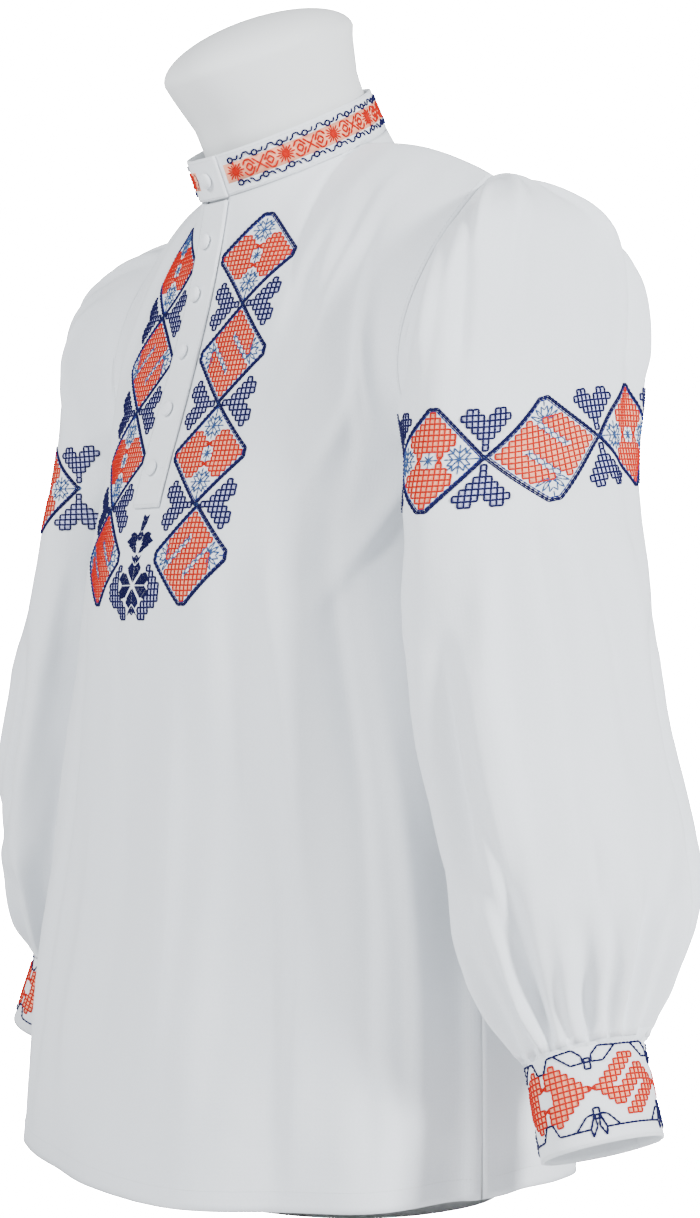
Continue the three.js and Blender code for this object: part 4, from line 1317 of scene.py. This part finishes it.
def laid(lines, spot, u, v):
    """Lines in squares as lines in millimetres: spot is the motif's middle, u and v its two axes."""
    return [
        tuple((spot[0] + p[0] * u[0] + p[1] * v[0], spot[1] + p[0] * u[1] + p[1] * v[1]) for p in line)
        for line in lines
    ]


def laid_cells(cells, spot, u, v):
    return [(*laid([[cell]], spot, u, v)[0][0], u, v) for cell in cells]


def lozenge(canvas, spot, u, v, kind, end=0, bars=1):
    """One lozenge of a chain that runs along v. end is 1 or -1 where the chain ends with it."""

    def sew(colour, lines, radius=PLAIN):
        canvas.sew(colour, laid(lines, spot, u, v), radius)

    for inset, colour, radius in OUTLINES:
        sew(colour, blunt_end(inset, end) if end else outline_lines(inset), radius)
    if kind == "star":
        cells = STAR_CELLS
        sew(ORANGE, lattice_edges(cells) + STAR_LINKS)
        sew(STEEL, star_lines(0, 5.5) + star_lines(0, -5.5) + asterisk(0, 0), FINE)
        sew(STEEL, [((0, 7.9 * s), (0, 9.2 * s)) for s in (1, -1) if s != end], FINE)
    else:
        cells = {(bars * i, j) for i, j in MEANDER_CELLS}
        sew(ORANGE, lattice_edges(cells))
        for s in (1, -1):
            sew(STEEL, mirror(chain_lines((4.9 * s, -1.5 * s), (-0.3 * s, 3.8 * s)), bars), FINE)
        sew(STEEL, tulip_lines(1) + tulip_lines(-1), FINE)
    canvas.fill(PEACH, laid_cells(cells, spot, u, v))


def crossing(canvas, spot, u, v):
    """The small rhombus where the outlines of two lozenges cross."""
    canvas.sew(STEEL, laid(loop([(-0.5, 0), (0, 0.5), (0.5, 0), (0, -0.5)]), spot, u, v), FINE)


LEAF_SQUARE, LEAF_START, FOOT_LEAF_STEP = 3.9, 1.65, 4.2


def leaf(canvas, spot, across, out, cells=LEAF_CELLS, start=LEAF_START):
    """A navy lattice leaf whose stem points at spot; across and out are the axes of its squares."""
    edges = [((a[0], a[1] + start), (b[0], b[1] + start)) for a, b in lattice_edges(cells)]
    canvas.sew(NAVY, laid(edges, spot, across, out), BOLD)
    canvas.fill(LAVENDER, laid_cells([(a, b + start) for a, b in cells], spot, across, out))


SATIN_GAP = 0.62


def satin(canvas, colour, polygon, direction):
    """Fills a convex polygon, in millimetres, with close parallel threads."""
    polygon = np.array(polygon, float)
    d = np.array(direction, float) / np.hypot(*direction)
    across = np.array([-d[1], d[0]])
    offsets = polygon @ across
    lines = []
    for offset in np.arange(offsets.min() + SATIN_GAP / 2, offsets.max(), SATIN_GAP):
        crossings = []
        for a, b in zip(polygon, np.roll(polygon, -1, 0)):
            sa, sb = a @ across - offset, b @ across - offset
            if sa * sb < 0:
                crossings.append(lerp(a, b, sa / (sa - sb)) @ d)
        if len(crossings) >= 2:
            lines.append([reach * d + offset * across for reach in (min(crossings), max(crossings))])
    canvas.sew(colour, [(tuple(a), tuple(b)) for a, b in lines if np.hypot(*(b - a)) > 0.5], SATIN)


# ---- Embroidery: the front --------------------------------------------------------------------------
CHAIN_ACROSS, CHAIN_FOOT, PITCH = 54, 403, 73
CHAIN_SWAY = [51.5, 52.5, 54.0, 57.0]  # each lozenge's middle from the centre line, top to foot
# In metres: where rays at the front start, the foremost cloth to begin with, how far back a hit may lie, and
# how far back each further row goes where no cloth is hit.
LOOK_FROM, CHEST_AT, HIT_WITHIN, STEP_BACK = -0.4, -0.11, 0.02, 0.0012


def front_canvas():
    """Distances: across from the centre line along level lines, and along the chain from its lowest end."""
    tree = surface_of(front)
    across = np.arange(-128.0, 128.1, 4)
    heights = np.arange(372.0, 722.0, 4)
    depth = np.zeros((len(across), len(heights)))
    for i, x in enumerate(across):
        last = CHEST_AT
        for j, z in enumerate(heights):
            hit = tree.ray_cast(Vector((x * MM, LOOK_FROM, (z + STAND) * MM)), Vector((0, 1, 0)))[0]
            last = hit.y if hit and hit.y < HIT_WITHIN else last + STEP_BACK
            depth[i, j] = last
    # The slit under the placket is bridged, so that distances run straight across it.
    open_middle = np.abs(across) < 16
    for j in range(len(heights)):
        depth[open_middle, j] = np.interp(across[open_middle], across[~open_middle], depth[~open_middle, j])
    middle = len(across) // 2
    xs = np.arange(-104.0, 104.1, 2)
    grid = np.zeros((len(xs), len(heights), 3))
    for j, z in enumerate(heights):
        step = np.hypot(np.diff(across), np.diff(depth[:, j]) / MM)
        arc = np.concatenate([[0], np.cumsum(step)])
        arc -= arc[middle]
        x = np.interp(xs, arc, across)
        grid[:, j] = np.c_[x * MM, np.interp(x, across, depth[:, j]), np.full(len(xs), (z + STAND) * MM)]
    line = grid[np.searchsorted(xs, CHAIN_ACROSS)]
    ys = np.concatenate([[0], np.cumsum(np.linalg.norm(np.diff(line, axis=0), axis=1))]) / MM
    ys -= np.interp(CHAIN_FOOT, heights, ys)
    return Canvas(front, xs, ys, grid)


def sew_front():
    canvas = front_canvas()
    for flip in (1, -1):
        u, v = (flip * SQUARE, 0), (0, SQUARE)
        middles = [(flip * x, PITCH * (3 - k) + PITCH / 2 - SQUARE) for k, x in enumerate(CHAIN_SWAY)]
        for k, spot in enumerate(middles):
            kind = "star" if k % 2 == 0 else "meander"
            lozenge(canvas, spot, u, v, kind, end={0: 1, 3: -1}.get(k, 0), bars=-1 if k == 3 else 1)
        for above, below in zip(middles, middles[1:]):
            spot = ((above[0] + below[0]) / 2, (above[1] + below[1]) / 2)
            crossing(canvas, spot, u, v)
            for side in (1, -1):
                leaf(canvas, spot, (0, LEAF_SQUARE), (side * LEAF_SQUARE, 0))
        foot = (flip * FOOT_LEAF_AT[0], FOOT_LEAF_AT[1])
        leaf(canvas, foot, (flip * LEAF_SQUARE, 0), (0, -FOOT_LEAF_STEP), FOOT_LEAF_CELLS, 0)
    sew_flower(canvas)
    finish_canvas("front", canvas)


# The solid flower's petals, in millimetres from its star's middle, with the way of their threads; each is
# sewn again mirrored, but the bud.
FLOWER_AT = (0.5, 13)
FOOT_LEAF_AT = (22, 25)
PETALS = [
    ([(2.2, 0.4), (9.2, 8.2), (15.2, 9.4), (19.8, 4.6), (14.5, 0.4)], (1, 0.4)),
    ([(2.2, -0.4), (9.2, -8.2), (15.2, -9.4), (19.8, -4.6), (14.5, -0.4)], (1, -0.4)),
    ([(0.3, 1.9), (6.4, 8.4), (8.2, 12.6), (4.2, 16.8), (0.3, 13.6)], (0.3, 1)),
    ([(0.3, -1.9), (6.4, -8.4), (8.2, -12.6), (4.2, -16), (0.3, -12.8)], (0.3, -1)),
    ([(0.3, -13.8), (4, -17), (6, -21), (2.8, -19), (0.3, -21)], (0.2, -1)),
    ([(0.3, 14.8), (4.2, 17.8), (6, 21.4), (2.7, 19.8), (0.3, 22.2)], (0.2, 1)),
    ([(1.2, 22.6), (4.4, 23.2), (13.4, 28.8), (9.2, 30.2), (2.6, 27.2)], (1, 0.5)),
    ([(2.5, 28.4), (5, 32.8), (12.4, 34.8), (17.4, 31.6), (14.2, 29.7)], (1, 0.1)),
    ([(2.5, 31), (3.8, 36), (8.8, 38.6), (13.6, 36.8), (10.8, 33)], (0.8, 0.5)),
    ([(0.3, 30.8), (2.6, 33), (3.6, 36.8), (1.4, 39), (0.3, 38.2)], (0.1, 1)),
]
BUD = [(-1.6, 38.6), (1.8, 39), (4.8, 44.6), (6.4, 51), (2.8, 49.4), (-0.6, 51.2), (-1.6, 45)]


def sew_flower(canvas):
    """The solid flower under the placket: a star of eight petals, a tulip above it, and a leaning bud."""
    x0, y0 = FLOWER_AT
    for petal, way in PETALS:
        for flip in (1, -1):
            satin(canvas, NAVY, [(x0 + flip * x, y0 + y) for x, y in petal], (flip * way[0], way[1]))
    satin(canvas, NAVY, [(x0 + x, y0 + y) for x, y in BUD], (0.25, 1))


sew_front()


# ---- Embroidery: the sleeves ------------------------------------------------------------------------
SLEEVE_AXIS = (228, 16)
BAND_MIDDLE, BAND_RISE = 505, 11.5
BAND_HALF = 44
LOOK_AWAY, NO_HIT_AT = 140, 70  # how far from the axis rays start, and where a missed one is put
# The turns, in degrees from the front round the outside, of the two crossings that set the chain's places.
CROSSING_TURNS = (33.4, 131)


def sleeve_canvas(name, side):
    """Distances: round the sleeve from the front over the outside to the back and under, and upwards. Also
    the places of the two crossings."""
    tree = surface_of(sleeves[name])
    turns = np.radians(np.arange(-60, 301, 3))
    rises = np.arange(-BAND_HALF, BAND_HALF + 1.0, 4)
    points = np.zeros((len(turns), len(rises), 3))
    for i, turn in enumerate(turns):
        way = np.array([side * np.sin(turn), -np.cos(turn), 0])
        middle = np.array([side * SLEEVE_AXIS[0], SLEEVE_AXIS[1], BAND_MIDDLE - BAND_RISE * np.cos(turn)])
        for j, up in enumerate(rises):
            start = middle + np.array([0, 0, up])
            hit = tree.ray_cast(Vector(to_metres(start + way * LOOK_AWAY)), Vector(-way))[0]
            points[i, j] = hit if hit else to_metres(start + way * NO_HIT_AT)
    line = points[:, len(rises) // 2]
    xs = np.concatenate([[0], np.cumsum(np.linalg.norm(np.diff(line, axis=0), axis=1))]) / MM
    crossings = [float(np.interp(np.radians(turn), turns, xs)) for turn in CROSSING_TURNS]
    return Canvas(sleeves[name], xs, rises, points), crossings


def sew_sleeve(name, side):
    canvas, (near, far) = sleeve_canvas(name, side)
    stations = [near - PITCH, near, far, far + PITCH, far + 2 * PITCH]
    for k, (left, right) in enumerate(zip(stations, stations[1:])):
        u, v = (0, SQUARE), ((right - left) / 20, 0)
        lozenge(canvas, ((left + right) / 2, 0), u, v, "meander" if k % 2 else "star")
    for station in stations:
        crossing(canvas, (station, 0), (0, SQUARE), (SQUARE, 0))
        for way in (1, -1):
            leaf(canvas, (station, 0), (LEAF_SQUARE, 0), (0, way * LEAF_SQUARE))
    finish_canvas(f"sleeve_{name}", canvas)


for name, side in SIDES:
    sew_sleeve(name, side)


# ---- Embroidery: the collar -------------------------------------------------------------------------
BURST_SPACING = 38.5
COLLAR_SEWN = (16, 342)  # degrees
FIRST_BURST = 23.6
BORDER_AT, BORDER_SHIFT = 8.5, 1.5
PATCH, PATCH_HEIGHT = 3.0, 13.4
COLLAR_END = [(7, 6), (10.5, 3.6), (11.8, 0), (10.5, -3.6), (7, -6)]  # the arch behind the last starburst


def band_canvas(piece, place, turns, heights):
    """A canvas straight from a band's own surface: distances along its middle, and down or up it."""
    points = to_metres(place(turns[:, None] + 0 * heights, heights + 0 * turns[:, None]))
    line = points[:, len(heights) // 2]
    xs = np.concatenate([[0], np.cumsum(np.linalg.norm(np.diff(line, axis=0), axis=1))]) / MM
    return Canvas(piece, xs, heights, points)


def starburst(x, y, size=7.0):
    rays = []
    for k in range(16):
        a, reach = k * np.pi / 8, size * (1 if k % 2 == 0 else 0.8)
        rays.append(((x, y), (x + reach * np.cos(a), y + reach * 0.95 * np.sin(a))))
    return rays


def collar_links(x):
    """The two linked diamonds between starbursts, with the chevrons round them, about their crossing."""
    lines = [((x - 4.6, -5.2), (x + 4.6, 5.2)), ((x - 4.6, 5.2), (x + 4.6, -5.2))]
    for s in (1, -1):
        c = x + 8 * s
        lines += loop([(c - 2.5, 0), (c, 3.0), (c + 2.5, 0), (c, -3.0)])
        for t in (1, -1):
            chevron = [(-4.2, 0.8), (-0.8, 5.5), (2.2, 5.5), (4.6, 2.4)]
            lines += path([(c + a * s, b * t) for a, b in chevron])
    return lines


def collar_border(x, way):
    """One stretch of the border above (way 1) or below (way -1) the sewn band."""

    def put(a, b):
        return (x + a, way * (BORDER_AT + b))

    lines = loop([put(-2.2, 0), put(-1.1, 1.7), put(1.1, 1.7), put(2.2, 0), put(1.1, -1.7), put(-1.1, -1.7)])
    lines += path([put(2.2, 0), put(5.2, -0.6), put(6.8, 2.2)])
    wave = [(7.2, -1.0), (9.4, -0.4), (10.8, 2.3), (14, 2.3), (15.2, -0.2), (17.05, 0)]
    lines += path([put(a, b) for a, b in wave])
    return lines


def sew_collar():
    turns = np.arange(COLLAR_UNDER, 360 + COLLAR_OVER + 0.5, 1.0)
    canvas = band_canvas(collar, collar_point, turns, np.arange(0.5, 30, 1.0))
    canvas.ys = canvas.ys - COLLAR_HEIGHT / 2
    start, stop, first = (float(np.interp(t, turns, canvas.xs)) for t in (*COLLAR_SEWN, FIRST_BURST))
    count = int((stop - first) / BURST_SPACING) + 1
    for k in range(count):
        x = first + k * BURST_SPACING
        canvas.sew(ORANGE, starburst(x, 0), PLAIN)
        if x + BURST_SPACING < stop + 4:
            canvas.sew(ORANGE, collar_links(x + BURST_SPACING / 2), BOLD)
        for half in (0, 1):
            at = x + half * BURST_SPACING / 2
            if at + 17 < stop + 12:
                for way in (1, -1):
                    canvas.sew(NAVY, collar_border(at - way * BORDER_SHIFT, way), BOLD)
    last = first + (count - 1) * BURST_SPACING
    canvas.sew(NAVY, path([(last + a, b) for a, b in COLLAR_END]), SLIM)
    patches = np.arange(start, last + 9, PATCH)
    canvas.fill(PEACH, [(x + PATCH / 2, 0, (PATCH, 0), (0, PATCH_HEIGHT)) for x in patches])
    finish_canvas("collar", canvas)


sew_collar()


# ---- Embroidery: the cuffs --------------------------------------------------------------------------
CUFF_SQUARE = (3.95, 3.5)
CUFF_MIDDLE, CUFF_PERIOD = 28.5, 30
CUFF_TURN = 83  # degrees to the first lozenge's middle
CUFF_CLEAR = (3, 20)  # left plain at each end of the band
HOLED = {
    (s * i, j)
    for s in (1, -1)
    for i in range(1, 8)
    for j in range(-5, 6)
    if abs(i - 2) + abs(j) <= 5 and not (i == 1 and abs(j) < 2)
}
NOTCHED = {
    (i, j)
    for i in range(-6, 7)
    for j in range(-5, 6)
    if abs(i) + abs(j) <= 6
    and (abs(i - j) <= 1 or abs(i - j) >= 4 or (i + j <= -4 and i - j <= 1) or (i + j >= 4 and i - j >= -1))
}
CUFF_LEAF = [(2.7, 7.1), (5.8, 7.3), (7.2, 5.9), (7.3, 4.7), (5.3, 4.6)]
CUFF_FOOT_LEAVES = [
    [(4.4, 7.1), (6.3, 4.8), (7.6, 4.5), (6.7, 7.1)],
    [(6.7, 7.1), (7.6, 4.7), (7.8, 6.7), (6.9, 8.5)],
]
LEAF_MIDDLES, SECOND_AT = (8, 22), 15  # squares from the first lozenge's middle


def cross_link(x, y):
    return [((x - 0.5, y - 0.5), (x + 0.5, y + 0.5)), ((x - 0.5, y + 0.5), (x + 0.5, y - 0.5))]


def cuff_border(way):
    """The border along one side of a pair of lozenges, from the middle of the first to the second's."""
    lines = path([(1.6, 7.0), (2.7, 7.1)]) + path([(-1.6, 7.0), (-0.6, 4.6), (0.6, 4.6), (1.6, 7.0)])
    lines += [((13.3, 7.1), (16.7, 7.1)), ((28.4, 7.0), (27.3, 7.1))]
    for middle in LEAF_MIDDLES:
        lines += [((middle - 0.7, 4.7), (middle + 0.7, 4.7))]
        lines += loop([(middle + a, b) for a, b in ((-0.5, 5.4), (0.5, 5.4), (0.5, 3.5), (-0.5, 3.5))])
    for shape in [CUFF_LEAF] if way > 0 else CUFF_FOOT_LEAVES:
        for middle in LEAF_MIDDLES:
            for s in (1, -1):
                lines += loop([(middle + s * (x - 8), y) for x, y in shape])
    if way < 0:
        lines += [((m + s * 3.6, 7.1), (m + s * 5.3, 7.1)) for s in (1, -1) for m in LEAF_MIDDLES]
    return [((a[0], way * a[1]), (b[0], way * b[1])) for a, b in lines]


def sew_cuff(name, side):
    turns = np.arange(CUFF_START, CUFF_END + 0.5, 2.0)
    drops = np.arange(0.5, CUFF_HEIGHT, 1.5)
    canvas = band_canvas(cuffs[name], lambda a, d: cuff_point(a, d, side), turns, drops)
    first = float(np.interp(360 + CUFF_TURN, turns, canvas.xs))
    # The pattern runs from the front over the outside to the back, against the way of the band's turns.
    u, v = (-CUFF_SQUARE[0], 0), (0, -CUFF_SQUARE[1])
    low, high = canvas.xs[0] + CUFF_CLEAR[0], canvas.xs[-1] - CUFF_CLEAR[1]
    orange = lattice_edges(HOLED) + cross_link(0, 2) + cross_link(0, -2)
    orange += cross_link(8, 0) + cross_link(22, 0)
    orange += [((a[0] + SECOND_AT, a[1]), (b[0] + SECOND_AT, b[1])) for a, b in lattice_edges(NOTCHED)]
    navy = cuff_border(1) + cuff_border(-1)
    for k in range(-2, 3):
        spot = (first + k * CUFF_PERIOD * CUFF_SQUARE[0], CUFF_MIDDLE)
        for colour, lines, radius in ((ORANGE, orange, PLAIN), (NAVY, navy, BOLD)):
            placed = laid(lines, spot, u, v)
            canvas.sew(colour, [line for line in placed if all(low < p[0] < high for p in line)], radius)
        cells = laid_cells(HOLED | {(i + SECOND_AT, j) for i, j in NOTCHED}, spot, u, v)
        canvas.fill(PEACH, [cell for cell in cells if low + 2 < cell[0] < high - 2])
    finish_canvas(f"cuff_{name}", canvas)


for name, side in SIDES:
    sew_cuff(name, side)

# ---- Floor, light and camera ------------------------------------------------------------------------
BACKDROP_GLOW, ROOM_SHARE, FLOOR_SHARE = 60.0, 0.85, 0.97
FLOOR_HALF = 8


def seen_by_camera(nodes, links, plain, glow, surface, share=1.0):
    """The camera sees that share of the glow, where all other rays meet the plain shader."""
    sight = nodes.new("ShaderNodeLightPath")
    part = nodes.new("ShaderNodeMath")
    part.operation = "MULTIPLY"
    part.inputs[1].default_value = share
    mixed = nodes.new("ShaderNodeMixShader")
    links.new(sight.outputs["Is Camera Ray"], part.inputs[0])
    links.new(part.outputs["Value"], mixed.inputs["Fac"])
    links.new(plain, mixed.inputs[1])
    links.new(glow, mixed.inputs[2])
    links.new(mixed.outputs["Shader"], surface)


def lay_floor():
    bm = bmesh.new()
    bmesh.ops.create_grid(bm, x_segments=1, y_segments=1, size=FLOOR_HALF)
    mesh = bpy.data.meshes.new("floor")
    bm.to_mesh(mesh)
    bm.free()
    floor = bpy.data.objects.new("floor", mesh)
    bpy.context.scene.collection.objects.link(floor)
    material, nodes, links, shader = new_material("pale_floor", 0.9)
    shader.inputs["Base Color"].default_value = (0.9, 0.9, 0.9, 1)
    glow = nodes.new("ShaderNodeEmission")
    glow.inputs["Color"].default_value = (1, 1, 1, 1)
    glow.inputs["Strength"].default_value = BACKDROP_GLOW
    surface = nodes["Material Output"].inputs["Surface"]
    seen_by_camera(nodes, links, shader.outputs["BSDF"], glow.outputs["Emission"], surface, FLOOR_SHARE)
    floor.data.materials.append(material)


def light_room():
    world = bpy.data.worlds.new("studio")
    bpy.context.scene.world = world
    world.use_nodes = True
    nodes, links = world.node_tree.nodes, world.node_tree.links
    room = nodes["Background"]
    room.inputs["Color"].default_value = (0.88, 0.93, 1.0, 1)
    room.inputs["Strength"].default_value = 0.5
    backdrop = nodes.new("ShaderNodeBackground")
    backdrop.inputs["Strength"].default_value = BACKDROP_GLOW * ROOM_SHARE
    surface = nodes["World Output"].inputs["Surface"]
    seen_by_camera(nodes, links, room.outputs["Background"], backdrop.outputs["Background"], surface)


LIGHT_TINT = (0.955, 0.975, 1.0)


def area_light(name, place_at, look_at, size, power):
    data = bpy.data.lights.new(name, "AREA")
    data.size = size
    data.energy = power
    data.color = LIGHT_TINT
    light = bpy.data.objects.new(name, data)
    bpy.context.scene.collection.objects.link(light)
    light.location = place_at
    light.rotation_euler = (Vector(look_at) - Vector(place_at)).to_track_quat("-Z", "Y").to_euler()


lay_floor()
light_room()
area_light("key", (0.1, -2.8, 2.0), (0, 0, 0.42), 0.55, 116)
area_light("fill", (3.0, 0.7, 1.6), (0, 0, 0.4), 0.5, 178)

SENSOR = 36
CAMERA_TURN = np.radians(55)
CAMERA_AWAY, CAMERA_HEIGHT = 2.0, 0.4
FOCAL_PIXELS, LONG_SIDE, SHORT_SIDE = 2760, 1218, 700
AXIS_AT = (297, 620)
camera_data = bpy.data.cameras.new("camera")
camera_data.sensor_width = SENSOR
camera_data.lens = SENSOR * FOCAL_PIXELS / LONG_SIDE
camera_data.shift_x = (SHORT_SIDE / 2 - AXIS_AT[0]) / LONG_SIDE
camera_data.shift_y = (AXIS_AT[1] - LONG_SIDE / 2) / LONG_SIDE
camera_data.clip_start, camera_data.clip_end = 0.05, 50
camera = bpy.data.objects.new("camera", camera_data)
bpy.context.scene.collection.objects.link(camera)
away = np.array([np.sin(CAMERA_TURN), -np.cos(CAMERA_TURN)]) * CAMERA_AWAY
camera.location = (*away, CAMERA_HEIGHT)
camera.rotation_euler = (np.pi / 2, 0, CAMERA_TURN)
bpy.context.scene.camera = camera
